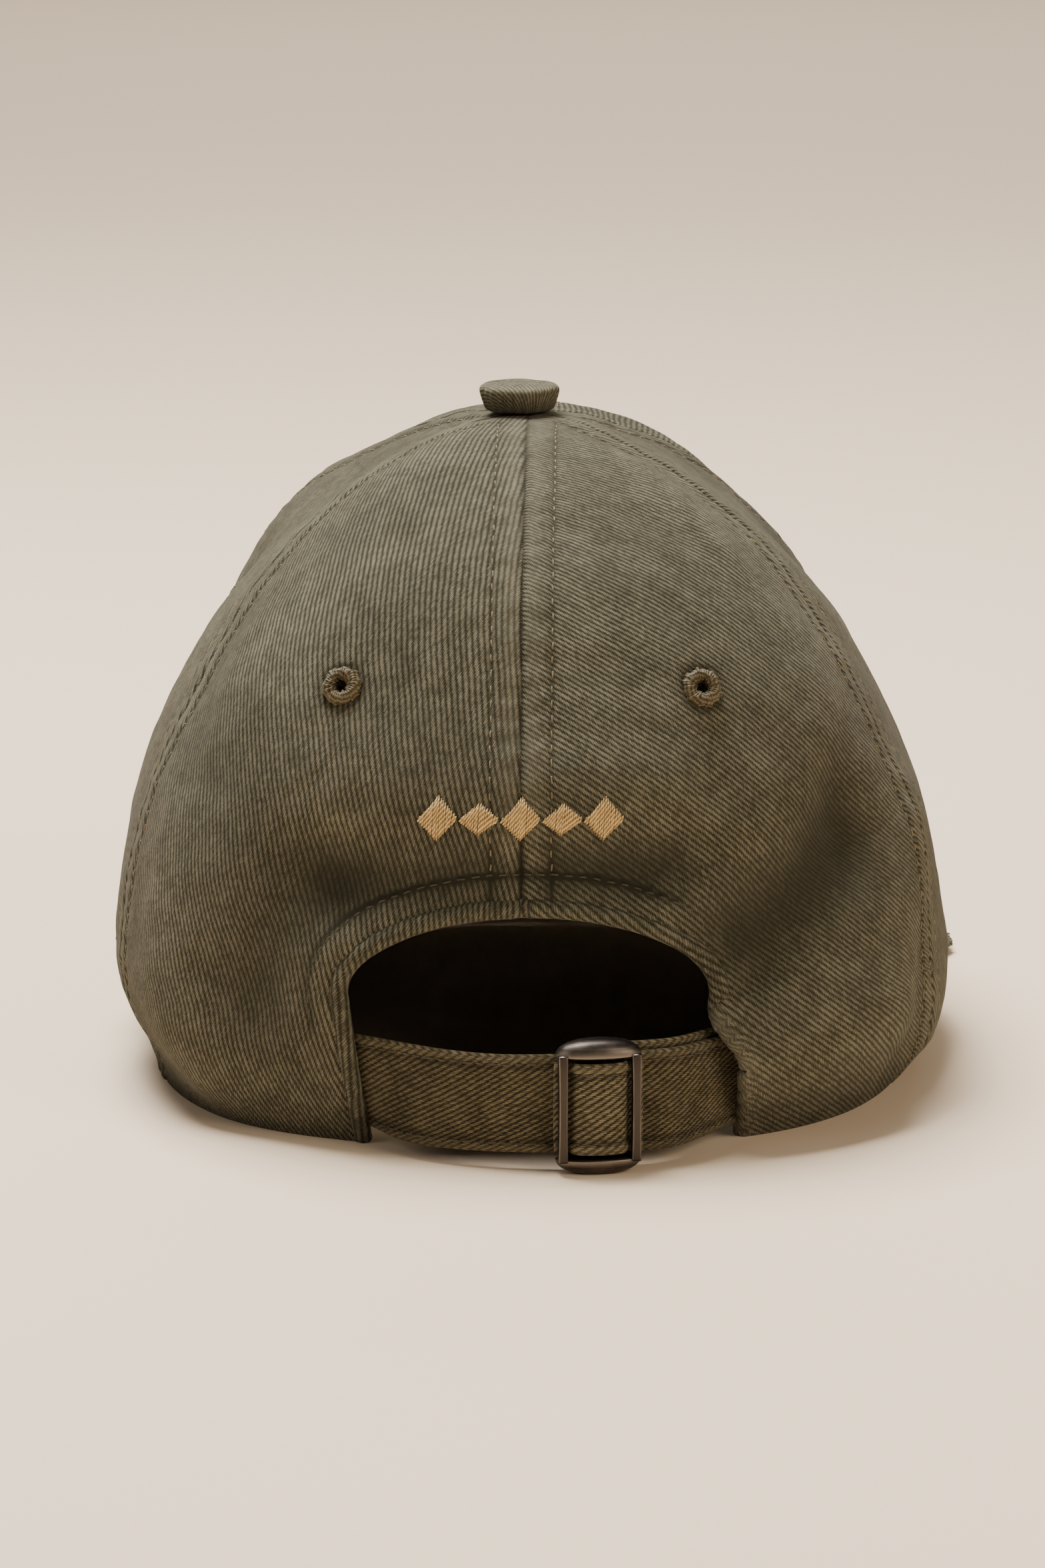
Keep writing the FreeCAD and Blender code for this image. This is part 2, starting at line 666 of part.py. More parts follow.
def placed(shape):
    """Move a buckle piece from the strap's bow at straight back to its place.

    Before the move, x runs along the strap, -y points outwards from the strap's outer
    face, and z is height from the middle of the strap."""
    shape.translate(FreeCAD.Vector(STRAP_CENTRE[0], STRAP_CENTRE[1] - STRAP_RADIUS, STRAP_LEVEL))
    axis_point = FreeCAD.Vector(STRAP_CENTRE[0], STRAP_CENTRE[1], 0.0)
    shape.rotate(axis_point, FreeCAD.Vector(0.0, 0.0, 1.0), BUCKLE_ANGLE)
    return shape


def block(x, y, z):
    """Box between two limits along each axis."""
    corner = FreeCAD.Vector(x[0], y[0], z[0])
    return Part.makeBox(x[1] - x[0], y[1] - y[0], z[1] - z[0], corner)


half_width = BUCKLE_WIDTH / 2.0
half_height = BUCKLE_HEIGHT / 2.0
half_window = BUCKLE_WINDOW / 2.0


def buckle_cap(direction):
    """Lens-shaped cap across the rails' upper or lower ends."""
    low = min(direction * half_window, direction * half_height)
    high = max(direction * half_window, direction * half_height)
    cap = block((-half_width, half_width), (-BUCKLE_FRONT, -BUCKLE_BACK), (low, high))
    plan = Part.Ellipse(FreeCAD.Vector(0.0, -(BUCKLE_FRONT + BUCKLE_BACK) / 2.0, low), half_width,
                        (BUCKLE_FRONT - BUCKLE_BACK) / 2.0)
    lens = Part.Face(Part.Wire(plan.toShape())).extrude(FreeCAD.Vector(0.0, 0.0, high - low))
    arch_centre = FreeCAD.Vector(0.0, BUCKLE_WIDTH, direction * (half_height - BUCKLE_ARCH_RADIUS))
    inwards = FreeCAD.Vector(0.0, -1.0, 0.0)
    arch = Part.makeCylinder(BUCKLE_ARCH_RADIUS, 2.0 * BUCKLE_WIDTH, arch_centre, inwards)
    return cap.common(lens).common(arch)


rails = []
for side in (-1.0, 1.0):
    inner_edge = side * (half_width - BUCKLE_RAIL - RAIL_INSET)
    outer_edge = side * (half_width - RAIL_INSET)
    rails.append(block((min(inner_edge, outer_edge), max(inner_edge, outer_edge)),
                       (-RAIL_FACES[1], -RAIL_FACES[0]),
                       (-half_height + RAIL_OVERLAP, half_height - RAIL_OVERLAP)))
frame = buckle_cap(1.0).fuse([buckle_cap(-1.0)] + rails).removeSplitter()
export(placed(frame), "buckle_frame")

bar = block((-BAR_WIDTH / 2.0, BAR_WIDTH / 2.0), (-BAR_FACES[1], -BAR_FACES[0]), (-half_window, half_window))
upright_edges = [edge for edge in bar.Edges if abs(edge.tangentAt(0.0).z) > 0.9]
export(placed(bar.makeFillet(BAR_ROUNDING, upright_edges)), "buckle_bar")

def hump_face(height):
    levels = [-STRAP_WIDTH / 2.0 + STRAP_WIDTH * step / 3.0 for step in range(4)]
    return [[FreeCAD.Vector(x, -(lift + height), z) for z in levels] for x, lift in HUMP_LINE]


hump = sheet_solid(hump_face(HUMP_THICKNESS), hump_face(0.0))
export(placed(hump), "strap_loop")
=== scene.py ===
import math

import bpy
import numpy as np
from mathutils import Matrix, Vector, kdtree


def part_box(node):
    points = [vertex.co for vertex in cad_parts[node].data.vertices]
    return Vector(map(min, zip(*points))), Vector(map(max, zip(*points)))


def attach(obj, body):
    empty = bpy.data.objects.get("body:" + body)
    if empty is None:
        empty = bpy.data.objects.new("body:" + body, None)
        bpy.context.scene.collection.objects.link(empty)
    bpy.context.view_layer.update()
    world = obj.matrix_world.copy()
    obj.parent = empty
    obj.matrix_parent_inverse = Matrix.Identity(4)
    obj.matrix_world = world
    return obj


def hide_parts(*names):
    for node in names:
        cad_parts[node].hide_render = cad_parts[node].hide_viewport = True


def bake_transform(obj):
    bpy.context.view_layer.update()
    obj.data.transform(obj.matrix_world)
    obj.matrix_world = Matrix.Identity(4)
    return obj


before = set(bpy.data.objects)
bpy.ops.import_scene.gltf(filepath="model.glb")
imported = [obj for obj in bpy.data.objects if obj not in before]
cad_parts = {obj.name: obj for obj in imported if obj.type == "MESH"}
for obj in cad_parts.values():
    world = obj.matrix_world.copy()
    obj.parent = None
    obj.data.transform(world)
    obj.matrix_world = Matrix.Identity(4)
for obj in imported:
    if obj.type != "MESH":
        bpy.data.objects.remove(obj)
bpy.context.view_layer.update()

# A soft six-panel cap, seen from behind. Lengths in this script are millimetres in the
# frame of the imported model, and MM turns them into Blender's metres.
MM = 0.001
TURN = 2.0 * math.pi

# ---- the crown, as the CAD model has it ----

HALF_WIDTH, REAR_LENGTH, FRONT_LENGTH = 90.0, 99.8, 102.4
REAR_SQUARENESS = 2.64
CROWN_HEIGHT, WIDEST_LEVEL, RIM_SCALE = 138.1, 26.2, 0.908
SIDE_FULLNESS, REAR_FULLNESS, FRONT_FULLNESS = 1.79, 2.42, 2.74
APEX_SCALE = 0.021
FRONT_RISE = 20.0
VISOR_CORNER = math.radians(22.0)
SEAM_REAR_SIDE_RIM, SEAM_REAR_SIDE_TOP, SEAM_SIDE_FRONT = -16.6, -21.4, 33.0

OPENING_LEFT_FOOT, OPENING_RIGHT_FOOT = -31.5, 46.0
OPENING_CENTRE, OPENING_HALF_WIDTH = 1.7, 37.8
OPENING_SPRING, OPENING_RISE = 33.5, 17.2

EYELET_ANGLES = {"rear": -67.9, "side": 19.5, "front": 63.0}
EYELET_HEIGHT = 94.0


def signed_power(value, exponent):
    return np.sign(value) * np.abs(value) ** exponent


def smooth_step(value):
    value = np.clip(value, 0.0, 1.0)
    return value * value * (3.0 - 2.0 * value)


def hump(value, centre, width):
    return np.exp(-((value - centre) / width) ** 2)


def unit(vector):
    return vector / np.maximum(np.linalg.norm(vector, axis=-1, keepdims=True), 1e-9)


def lengths_along(points):
    """Distance of each point of a path from its first."""
    return np.concatenate([[0.0], np.cumsum(np.linalg.norm(np.diff(points, axis=0), axis=1))])


def smoothed(values, rounds=2):
    """The same run of values with its corners rounded off and its ends kept."""
    for _ in range(rounds):
        values[1:-1] = values[1:-1] * 0.5 + (values[:-2] + values[2:]) * 0.25
    return values


def whole_quads(inside):
    """Which quads of a grid have all four corners inside."""
    return inside[:-1, :-1] & inside[:-1, 1:] & inside[1:, 1:] & inside[1:, :-1]


def ring_faces(rows, columns, closed=False):
    """Quads between rows of points that each close round; closed joins the last row to the first."""
    faces = []
    for row in range(rows if closed else rows - 1):
        here, above = row * columns, (row + 1) % rows * columns
        for column in range(columns):
            after = (column + 1) % columns
            faces.append([here + column, here + after, above + after, above + column])
    return faces


def profile_exponent(theta):
    forward = np.sin(theta)
    end = np.where(forward < 0.0, REAR_FULLNESS, FRONT_FULLNESS)
    return SIDE_FULLNESS * (1.0 - forward ** 2) + end * forward ** 2


def crown(theta, row, depth=0.0):
    """Points and outward normals of the crown; row is -1 at the rim's level, 1 at the apex."""
    theta, row, depth = np.broadcast_arrays(theta, row, depth)
    across, forward = np.cos(theta), np.sin(theta)
    rear = forward < 0.0
    squareness = np.where(rear, REAR_SQUARENESS, 2.0)
    length = np.where(rear, REAR_LENGTH, FRONT_LENGTH)
    exponent = profile_exponent(theta)
    low_level = WIDEST_LEVEL * (1.0 + np.minimum(row, 0.0))
    low_scale = 1.0 - (1.0 - RIM_SCALE) * ((WIDEST_LEVEL - low_level) / WIDEST_LEVEL) ** 2
    high_scale = np.cos(np.maximum(row, 0.0) * math.pi / 2.0)
    rise = np.maximum(1.0 - high_scale ** exponent, 0.0) ** (1.0 / exponent)
    scale = np.where(row < 0.0, low_scale, high_scale)
    level = np.where(row < 0.0, low_level, WIDEST_LEVEL + (CROWN_HEIGHT - WIDEST_LEVEL) * rise)
    power = 2.0 / squareness
    point = np.stack([HALF_WIDTH * signed_power(across, power) * scale,
                      length * signed_power(forward, power) * scale, level], -1)
    steepness = 2.0 * (squareness - 1.0) / squareness
    slope = np.where(row > 0.0, (rise / np.maximum(scale, 1e-4)) ** (exponent - 1.0), 0.0)
    normal = np.stack([signed_power(across, steepness) / HALF_WIDTH,
                       signed_power(forward, steepness) / length,
                       slope / (CROWN_HEIGHT - WIDEST_LEVEL)], -1)
    normal /= np.linalg.norm(normal, axis=-1, keepdims=True)
    return point - normal * depth[..., None], normal


def row_at_level(theta, level):
    theta, level = np.broadcast_arrays(np.asarray(theta, float), np.asarray(level, float))
    exponent = profile_exponent(theta)
    rise = np.clip((level - WIDEST_LEVEL) / (CROWN_HEIGHT - WIDEST_LEVEL), 0.0, 1.0)
    scale = (1.0 - rise ** exponent) ** (1.0 / exponent)
    return np.where(level <= WIDEST_LEVEL, level / WIDEST_LEVEL - 1.0, np.arccos(scale) * 2.0 / math.pi)


def rim_level(theta):
    corner = math.sin(VISOR_CORNER)
    return FRONT_RISE * smooth_step((np.sin(theta) - corner) / (1.0 - corner))


def rim_row(theta):
    return rim_level(theta) / WIDEST_LEVEL - 1.0


APEX_ROW = math.acos(APEX_SCALE) * 2.0 / math.pi

# On the right the strap enters a pocket: the level its mouth ends at, and the height it draws in over.
POCKET_TOP, POCKET_DRAW = 31.5, 13.0

# ---- soft shape: the dents, folds and slack that worn cloth has ----

# Each fold runs from one point to another, with its width and how far it stands out.
FOLDS = (
    ((66, -70, 60), (47, -90, 46), 12, -5.6),  # dent beside the opening, right
    ((46, -92, 19), (74, -66, 24), 11, 4.2),  # the pocket, filled by the strap
    ((40, -94, 31.5), (50, -90, 35.5), 2.6, -1.5),  # crease at the pocket's corner
    ((-44, -91, 57), (-54, -83, 32), 10, -3.4),  # dent beside the opening, left
    ((-70, -64, 30), (-66, -70, 12), 12, 2.2),
    ((-74, -60, -4), (-87, 14, 2), 17, -4.6),  # the rim tucks in, left
    ((84, -30, 8), (84, 20, 14), 16, 3),  # and stands out, right
    ((-37, -94, 56), (30, -96, 61), 7.5, -4.6),  # hollow above the opening's hem
    ((-26, -96, 78), (28, -96, 78), 12, 1.8),
    ((-88, -16, 32), (-84, -40, 22), 16, -0.5),  # the left side falls straighter
    ((74, -58, 86), (58, -72, 60), 9, -1.6),  # shallow drapes down the right
    ((82, -36, 62), (74, -56, 40), 9, 1.5),
    ((-70, -54, 84), (-74, -54, 40), 8, -1),
    ((-64, 20, 102), (-70, 26, 84), 10, -3.6),  # slack beside the side eyelets
    ((-50, 34, 112), (-62, 38, 98), 17, 3.2),  # the front stands out behind, left
    ((62, 20, 106), (70, 26, 84), 11, -3.4),
    ((22, 22, 134), (44, 30, 117), 16, -2),  # right of the button
    ((-22, 22, 135), (-30, 30, 130), 13, -1.1),  # left of the button
    ((12, -14, 136), (46, -28, 121), 4.5, -1.3),  # puckers beside the right seam
    ((14, -26, 132), (40, -48, 116), 6, 1.1),
    ((-70, -40, 96), (-60, -66, 70), 12, -1),
    ((-10, 60, 122), (14, 86, 92), 16, -2.2),  # slack over the forehead
    ((76, 34, 66), (62, 60, 44), 13, -2),
    ((-78, 28, 60), (-64, 58, 46), 13, -1.8),
)


def fold_height(point, start, end, width, height):
    start, end = np.array(start), np.array(end)
    run = end - start
    along = np.clip((point - start) @ run / (run @ run), 0.0, 1.0)
    away = np.linalg.norm(point - start - along[..., None] * run, axis=-1)
    return height * hump(away, 0.0, width)


def waves(point, wavelength, seed, count=14):
    """Smooth repeatable noise from -1 to 1: a sum of plane waves in random directions."""
    random = np.random.default_rng(seed)
    total = np.zeros(point.shape[:-1])
    for _ in range(count):
        direction = random.normal(size=3)
        direction /= np.linalg.norm(direction)
        length = wavelength * random.uniform(0.7, 1.5)
        total += np.sin(point @ direction * TURN / length + random.uniform(0.0, TURN))
    return total / math.sqrt(count)


def soft_height(point):
    height = 0.45 * waves(point, 46.0, 3) + 0.16 * waves(point, 17.0, 5) + 0.05 * waves(point, 6.0, 7)
    for start, end, width, stand in FOLDS:
        height = height + fold_height(point, start, end, width, stand)
    calm = smooth_step((CROWN_HEIGHT + 2.0 - point[..., 2]) / 6.0)
    return height * (0.25 + 0.75 * calm)


def soft_crown(theta, row, depth=0.0):
    point, normal = crown(theta, row)
    height = soft_height(point) * smooth_step((point[..., 2] + 4.0) / 14.0)
    return point + normal * (height - depth)[..., None], normal


# ---- meshes ----

def new_object(name, vertices, faces, uv=None, wear_and_shade=None, smooth=True):
    mesh = bpy.data.meshes.new(name)
    mesh.from_pydata((np.asarray(vertices) * MM).tolist(), [], faces)
    if uv is not None:
        layer = mesh.uv_layers.new(name="weave")
        corners = np.zeros(len(mesh.loops), dtype=np.int32)
        mesh.loops.foreach_get("vertex_index", corners)
        layer.data.foreach_set("uv", np.asarray(uv, float)[corners].ravel())
    # A per-vertex value for the cloth materials: positive for wear-faded cloth and painted light, negative
    # for painted shade.
    if wear_and_shade is not None:
        attribute = mesh.attributes.new("wear_and_shade", "FLOAT", "POINT")
        attribute.data.foreach_set("value", np.asarray(wear_and_shade, float))
    mesh.polygons.foreach_set("use_smooth", [smooth] * len(mesh.polygons))
    mesh.update()
    piece = bpy.data.objects.new(name, mesh)
    bpy.context.scene.collection.objects.link(piece)
    return piece


def grid_normals(point):
    """Normals of a grid whose columns run to the right and rows run up, seen from outside."""
    right = np.gradient(point, axis=1)
    up = np.gradient(point, axis=0)
    return unit(np.cross(right, up)), unit(right)


EDGE_WEAR = 0.35  # how much paler cloth is where it turns round an edge


def sheet_mesh(name, outer, thickness, uv, keep=None, wear_and_shade=None, roll=1.0, steps=5):
    """Closed cloth sheet from a grid of outer points, with its edges rolled round."""
    rows, columns = outer.shape[:2]
    normal, right = grid_normals(outer)
    up = np.cross(normal, right)
    count = rows * columns
    index = np.arange(count).reshape(rows, columns)
    quads = np.stack([index[:-1, :-1], index[:-1, 1:], index[1:, 1:], index[1:, :-1]], -1).reshape(-1, 4)
    if keep is not None:
        quads = quads[keep.reshape(-1)]
    point = outer.reshape(-1, 3)
    normal, right, up = normal.reshape(-1, 3), right.reshape(-1, 3), up.reshape(-1, 3)
    thick = np.broadcast_to(thickness, (rows, columns)).reshape(-1)
    uv = uv.reshape(-1, 2)
    wear_and_shade = np.zeros(count) if wear_and_shade is None else wear_and_shade.reshape(-1)
    edges = np.concatenate([quads[:, [k, (k + 1) % 4]] for k in range(4)])
    keys = {(int(a), int(b)) for a, b in edges}
    border = [(a, b) for a, b in keys if (b, a) not in keys]
    border.sort()
    outward = np.zeros((count, 3))
    for a, b in border:
        away = np.cross(point[b] - point[a], normal[a])
        away /= max(np.linalg.norm(away), 1e-9)
        outward[a] += away
        outward[b] += away
    outward = unit(outward)
    vertices = [point, point - normal * thick[:, None]]
    coordinates = [uv, uv + np.array([0.37, 0.91])]
    worn_and_shaded = [wear_and_shade, wear_and_shade]
    faces = quads.tolist() + (quads[:, ::-1] + count).tolist()
    corner = np.array(sorted({a for edge in border for a in edge}))
    half = thick[corner] / 2.0
    centre = point[corner] - normal[corner] * half[:, None]
    uv_way = np.stack([np.sum(outward[corner] * way[corner], -1) for way in (right, up)], -1)
    rings = []
    for angle in math.pi * np.arange(1, steps) / steps:
        shift = normal[corner] * (math.cos(angle) * half)[:, None]
        shift = shift + outward[corner] * (math.sin(angle) * half * roll)[:, None]
        rings.append((centre + shift, uv[corner] + uv_way * (angle * half)[:, None],
                      wear_and_shade[corner] + EDGE_WEAR * math.sin(angle) * roll))
    for parts, each in zip((vertices, coordinates, worn_and_shaded), zip(*rings)):
        joined = np.stack(each, 1)
        parts.append(joined.reshape((-1,) + joined.shape[2:]))
    first = 2 * count + np.arange(len(corner)) * (steps - 1)
    around = {a: [a, *range(base, base + steps - 1), a + count]
              for a, base in zip(corner.tolist(), first.tolist())}
    for a, b in border:
        for k in range(steps):
            faces.append([around[a][k], around[a][k + 1], around[b][k + 1], around[b][k]])
    vertices, coordinates, worn_and_shaded = map(np.concatenate, (vertices, coordinates, worn_and_shaded))
    used, faces = np.unique(np.array(faces), return_inverse=True)
    return new_object(name, vertices[used], faces.reshape(-1, 4).tolist(), coordinates[used], worn_and_shaded[used])


THREAD_TAPER = 0.45  # a thread's end against its middle, where it dives into the cloth
INNER_THREAD = 0.2  # radius of the thread in the sweatband, the strap, the tab and the loop


def tube_mesh(name, paths, radius, sides=6, flatten=1.0):
    """Many short threads in one mesh; each path is (points, normals)."""
    vertices, faces, coordinates = [], [], []
    turn = np.arange(sides) * TURN / sides
    offset = 0
    for path, normal in paths:
        path, normal = np.asarray(path), np.asarray(normal)
        tangent = unit(np.gradient(path, axis=0))
        side = unit(np.cross(tangent, normal))
        lift = np.cross(side, tangent)
        stations = len(path)
        size = np.full(stations, radius)
        size[[0, -1]] *= THREAD_TAPER
        ring = (side[:, None] * np.cos(turn)[None, :, None]
                + lift[:, None] * np.sin(turn)[None, :, None] * flatten)
        points = path[:, None] + ring * size[:, None, None]
        vertices.append(points.reshape(-1, 3))
        length = lengths_along(path)
        coordinates.append(np.stack(np.meshgrid(turn, length), -1).reshape(-1, 2))
        faces.extend((np.array(ring_faces(stations, sides)) + offset).tolist())
        faces.append([offset + s for s in range(sides)][::-1])
        offset += stations * sides
        faces.append([offset - sides + s for s in range(sides)])
    return new_object(name, np.concatenate(vertices), faces, np.concatenate(coordinates))


def sew(name, rows, radius, material, body="crown", sides=5):
    return place(tube_mesh(name, rows, radius, sides), body, material)


def place(piece, body, material, replaces=()):
    piece.data.materials.append(material)
    if body:
        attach(piece, body)
    if replaces:
        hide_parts(*replaces)
    return piece


# ---- materials ----

class Value:
    """A node's output, so that a material's arithmetic is written as arithmetic."""

    def __init__(self, graph, socket):
        self.graph, self.socket = graph, socket

    def math(self, operation, other=None, clamp=False):
        return self.graph.math(operation, self, other, clamp)

    def __add__(self, other):
        return self.math("ADD", other)

    def __sub__(self, other):
        return self.math("SUBTRACT", other)

    def __rsub__(self, other):
        return self.graph.math("SUBTRACT", other, self)

    def __mul__(self, other):
        return self.math("MULTIPLY", other)

    def __truediv__(self, other):
        return self.math("DIVIDE", other)

    def clamped_times(self, other):
        return self.math("MULTIPLY", other, True)

    def ramp(self, low, high):
        """Value from low to high, turned into 0 to 1."""
        return self.graph.node("ShaderNodeMapRange", 0, {"Value": self, "From Min": low, "From Max": high,
                                                         "To Min": 0.0, "To Max": 1.0})


class Graph:
    """A material's nodes, made with one call each."""

    def __init__(self, name):
        self.material = bpy.data.materials.new(name)
        self.material.use_nodes = True
        self.tree = self.material.node_tree
        self.shader = self.tree.nodes["Principled BSDF"]

    def put(self, socket, value):
        if isinstance(value, Value):
            self.tree.links.new(value.socket, socket)
        elif value is not None:
            socket.default_value = (*value, 1.0) if socket.type == "RGBA" else value

    def node(self, kind, output=0, inputs=(), **settings):
        node = self.tree.nodes.new(kind)
        for key, value in settings.items():
            setattr(node, key, value)
        for key, value in dict(inputs).items():
            self.put(node.inputs[key], value)
        return Value(self, node.outputs[output])

    def math(self, operation, a, b=None, clamp=False):
        return self.node("ShaderNodeMath", 0, {0: a, 1: b}, operation=operation, use_clamp=clamp)

    def vector(self, operation, inputs):
        return self.node("ShaderNodeVectorMath", 0, inputs, operation=operation)

    def place(self):
        return self.node("ShaderNodeTexCoord", 3)

    def weave(self):
        return self.node("ShaderNodeUVMap", 0, uv_map="weave")

    def axes(self, vector):
        return [self.node("ShaderNodeSeparateXYZ", axis, {0: vector}) for axis in (0, 1)]

    def wear_and_shade(self):
        return self.node("ShaderNodeAttribute", 2, attribute_name="wear_and_shade")

    def noise(self, vector, scale, detail=2.0, output=0):
        return self.node("ShaderNodeTexNoise", output,
                         {"Vector": vector, "Scale": scale, "Detail": detail, "Roughness": 0.55})

    def random(self, number):
        return self.node("ShaderNodeTexWhiteNoise", 0, {"W": number}, noise_dimensions="1D")

    def mix(self, factor, a, b, blend="MIX"):
        return self.node("ShaderNodeMix", 2, {0: factor, 6: a, 7: b}, data_type="RGBA", blend_type=blend)

    def bump(self, height, distance, strength=1.0):
        return self.node("ShaderNodeBump", 0,
                         {"Strength": strength, "Distance": distance, "Height": height})

    def surface(self, **inputs):
        for name, value in inputs.items():
            self.put(self.shader.inputs[name.replace("_", " ").title().replace("Ior", "IOR")], value)
        return self.material


YARN, WALE_REPEAT, FLOAT_SHARE = 0.335, 2.2, 0.80  # mm, mm, and the part of the repeat that shows
DRIFTS = ((45.0, 1.0), (330.0, 0.26), (1500.0, 0.13))  # how the weave wanders: noise scale, mm


def twill(name, dark, middle, light, scale=1.0, relief=0.00016, contrast=1.0):
    """Steep cotton twill. The weave map's second axis runs along the warp yarns, in
    millimetres, and the wales lean to the left of it."""
    graph = Graph(name)
    place_3d = graph.place()
    weave = graph.weave()
    for size, amount in DRIFTS:
        drift = graph.vector("SUBTRACT", {0: graph.noise(place_3d, size, 1.0, 1), 1: (0.5, 0.5, 0.5)})
        weave = graph.vector("ADD", {0: weave, 1: graph.vector("SCALE", {0: drift, "Scale": amount})})
    x, y = graph.axes(weave)
    column = x / (YARN * scale)
    number = column.math("FLOOR")
    centred = column.math("FRACT") * 2.0 - 1.0
    round_yarn = 1.0 - centred * centred
    phase = y / (WALE_REPEAT * scale) + number * 0.25 + graph.random(number) * 0.10
    float_random = graph.random(phase.math("FLOOR") + number * 37.3)
    arc = (phase.math("FRACT") * (math.pi / FLOAT_SHARE)).math("SINE")
    height = arc.math("MAXIMUM", 0.0).math("POWER", 0.65) * (round_yarn * 0.50 + 0.50)
    fuzz = graph.noise(place_3d, 3200.0, 3.0)
    patch = graph.noise(place_3d, 190.0, 4.0)
    wash = graph.noise(place_3d, 30.0, 4.0)
    # The weave's tone follows the yarns' height: painted shade between the yarns and painted highlight on
    # their crests, over random float, fuzz and patch tone.
    tone = height * (float_random * 0.50 + 0.72) + (fuzz - 0.5) * 1.05 + (patch - 0.5) * 0.65
    low = graph.mix(tone.ramp(0.46 - 0.46 * contrast, 0.52), dark, middle)
    cloth = graph.mix(tone.ramp(0.52, 1.05), low, light)
    washed = graph.mix(wash.ramp(0.35, 0.68), (0.84, 0.83, 0.80), (1.14, 1.14, 1.12))
    cloth = graph.mix(1.0, cloth, washed, "MULTIPLY")
    # Positive values of this attribute pale the cloth for wear and painted light; negative values darken it
    # as painted shade.
    wear_and_shade = graph.wear_and_shade()
    lighter = graph.mix(wear_and_shade.clamped_times(0.30), cloth, light)
    cloth = graph.mix(wear_and_shade.clamped_times(-0.85), lighter, dark)
    return graph.surface(base_color=cloth, roughness=0.95, specular_ior_level=0.12, sheen_weight=0.06,
                         sheen_roughness=0.5, sheen_tint=(0.70, 0.68, 0.60),
                         normal=graph.bump(height + fuzz * 0.45, relief))


def thread(name, base, bright, twist=0.45, roughness=0.55):
    """Sewing or embroidery thread with a fine twist along its length."""
    graph = Graph(name)
    x, y = graph.axes(graph.weave())
    ply = (y * (TURN / twist) + x * 2.0).math("SINE") * 0.5 + 0.5
    tone = ply * 0.6 + graph.noise(graph.place(), 900.0, 3.0) * 0.5
    twisted = graph.mix(tone.ramp(0.2, 0.9), base, bright)
    return graph.surface(base_color=twisted, roughness=roughness, specular_ior_level=0.35,
                         sheen_weight=0.08, sheen_tint=(0.9, 0.85, 0.75), normal=graph.bump(ply, 0.00006))


def plain_weave(name, dark, light, pitch=0.5, roughness=0.9):
    """Plain woven tape, label or buckram; pitch is in millimetres."""
    graph = Graph(name)
    place_3d = graph.place()
    warp, weft = [(axis * (math.pi / pitch)).math("SINE") for axis in graph.axes(graph.weave())]
    cell = warp * weft
    tone = cell * 0.28 + graph.noise(place_3d, 1800.0, 3.0) * 0.6 + graph.noise(place_3d, 45.0, 3.0) * 0.35
    woven = graph.mix(tone.ramp(0.25, 0.85), dark, light)
    return graph.surface(base_color=woven, roughness=roughness, specular_ior_level=0.2,
                         normal=graph.bump(cell, 0.00012))


def worn_metal(name, base, edge, roughness):
    """Satin plated metal: fine grain, handling marks and brighter corners."""
    graph = Graph(name)
    place_3d = graph.place()
    grain = graph.noise(place_3d, 900.0, 4.0)
    marks = graph.noise(place_3d, 170.0, 5.0)
    metal = graph.mix((graph.wear_and_shade() + (marks - 0.5) * 0.8).ramp(0.25, 1.1), base, edge)
    rough = grain * 0.16 + marks * 0.18 + (roughness - 0.16)
    return graph.surface(base_color=metal, metallic=1.0, roughness=rough,
                         normal=graph.bump(grain, 0.00002, 0.6))


# Twill tones, darkest to palest; the darkest also serves as painted shade, and the palest as painted
# highlight on yarn crests and as worn, faded cloth.
DARK = (0.0215, 0.0203, 0.0130)
MIDDLE = (0.0715, 0.0670, 0.0450)
LIGHT = (0.176, 0.163, 0.117)

crown_twill = twill("crown_twill_cloth", DARK, MIDDLE, LIGHT)
visor_twill = twill("visor_twill_cloth", DARK, MIDDLE, LIGHT)
button_twill = twill("button_twill_cloth", (0.045, 0.0405, 0.027), (0.098, 0.0895, 0.061),
                     (0.195, 0.178, 0.127), scale=0.72, relief=0.00008, contrast=0.4)
strap_twill = twill("strap_twill_cloth", (0.0125, 0.0105, 0.0058), (0.056, 0.0465, 0.0265),
                    (0.150, 0.126, 0.076), scale=0.92, relief=0.00020)
loop_twill = twill("loop_twill_cloth", (0.021, 0.0180, 0.0105), (0.082, 0.0690, 0.0415),
                   (0.195, 0.166, 0.104), scale=0.98, relief=0.00022, contrast=0.6)
band_twill = twill("sweatband_cloth", (0.006, 0.0055, 0.004), (0.030, 0.027, 0.020),
                   (0.070, 0.065, 0.050), scale=0.8, relief=0.00012)
tape_cloth = plain_weave("seam_tape_cloth", (0.020, 0.018, 0.012), (0.070, 0.062, 0.044))
buckram_cloth = plain_weave("buckram_cloth", (0.10, 0.095, 0.08), (0.34, 0.32, 0.27), pitch=0.9)
label_cloth = plain_weave("label_cloth", (0.46, 0.44, 0.39), (0.68, 0.66, 0.60), pitch=0.3, roughness=0.6)
foam_cloth = plain_weave("padding_cloth", (0.30, 0.30, 0.28), (0.52, 0.52, 0.48), pitch=1.2)
seam_thread = thread("seam_thread", (0.060, 0.045, 0.020), (0.30, 0.225, 0.115))
dark_thread = thread("dark_thread", (0.018, 0.015, 0.008), (0.085, 0.072, 0.042))
eyelet_thread = thread("eyelet_thread_olive", (0.017, 0.0125, 0.0045), (0.128, 0.095, 0.040), twist=0.9)
gold_thread = thread("gold_thread", (0.16, 0.090, 0.024), (0.68, 0.48, 0.205), twist=1.1, roughness=0.34)
gunmetal = worn_metal("gunmetal", (0.055, 0.046, 0.040), (0.21, 0.18, 0.155), 0.40)
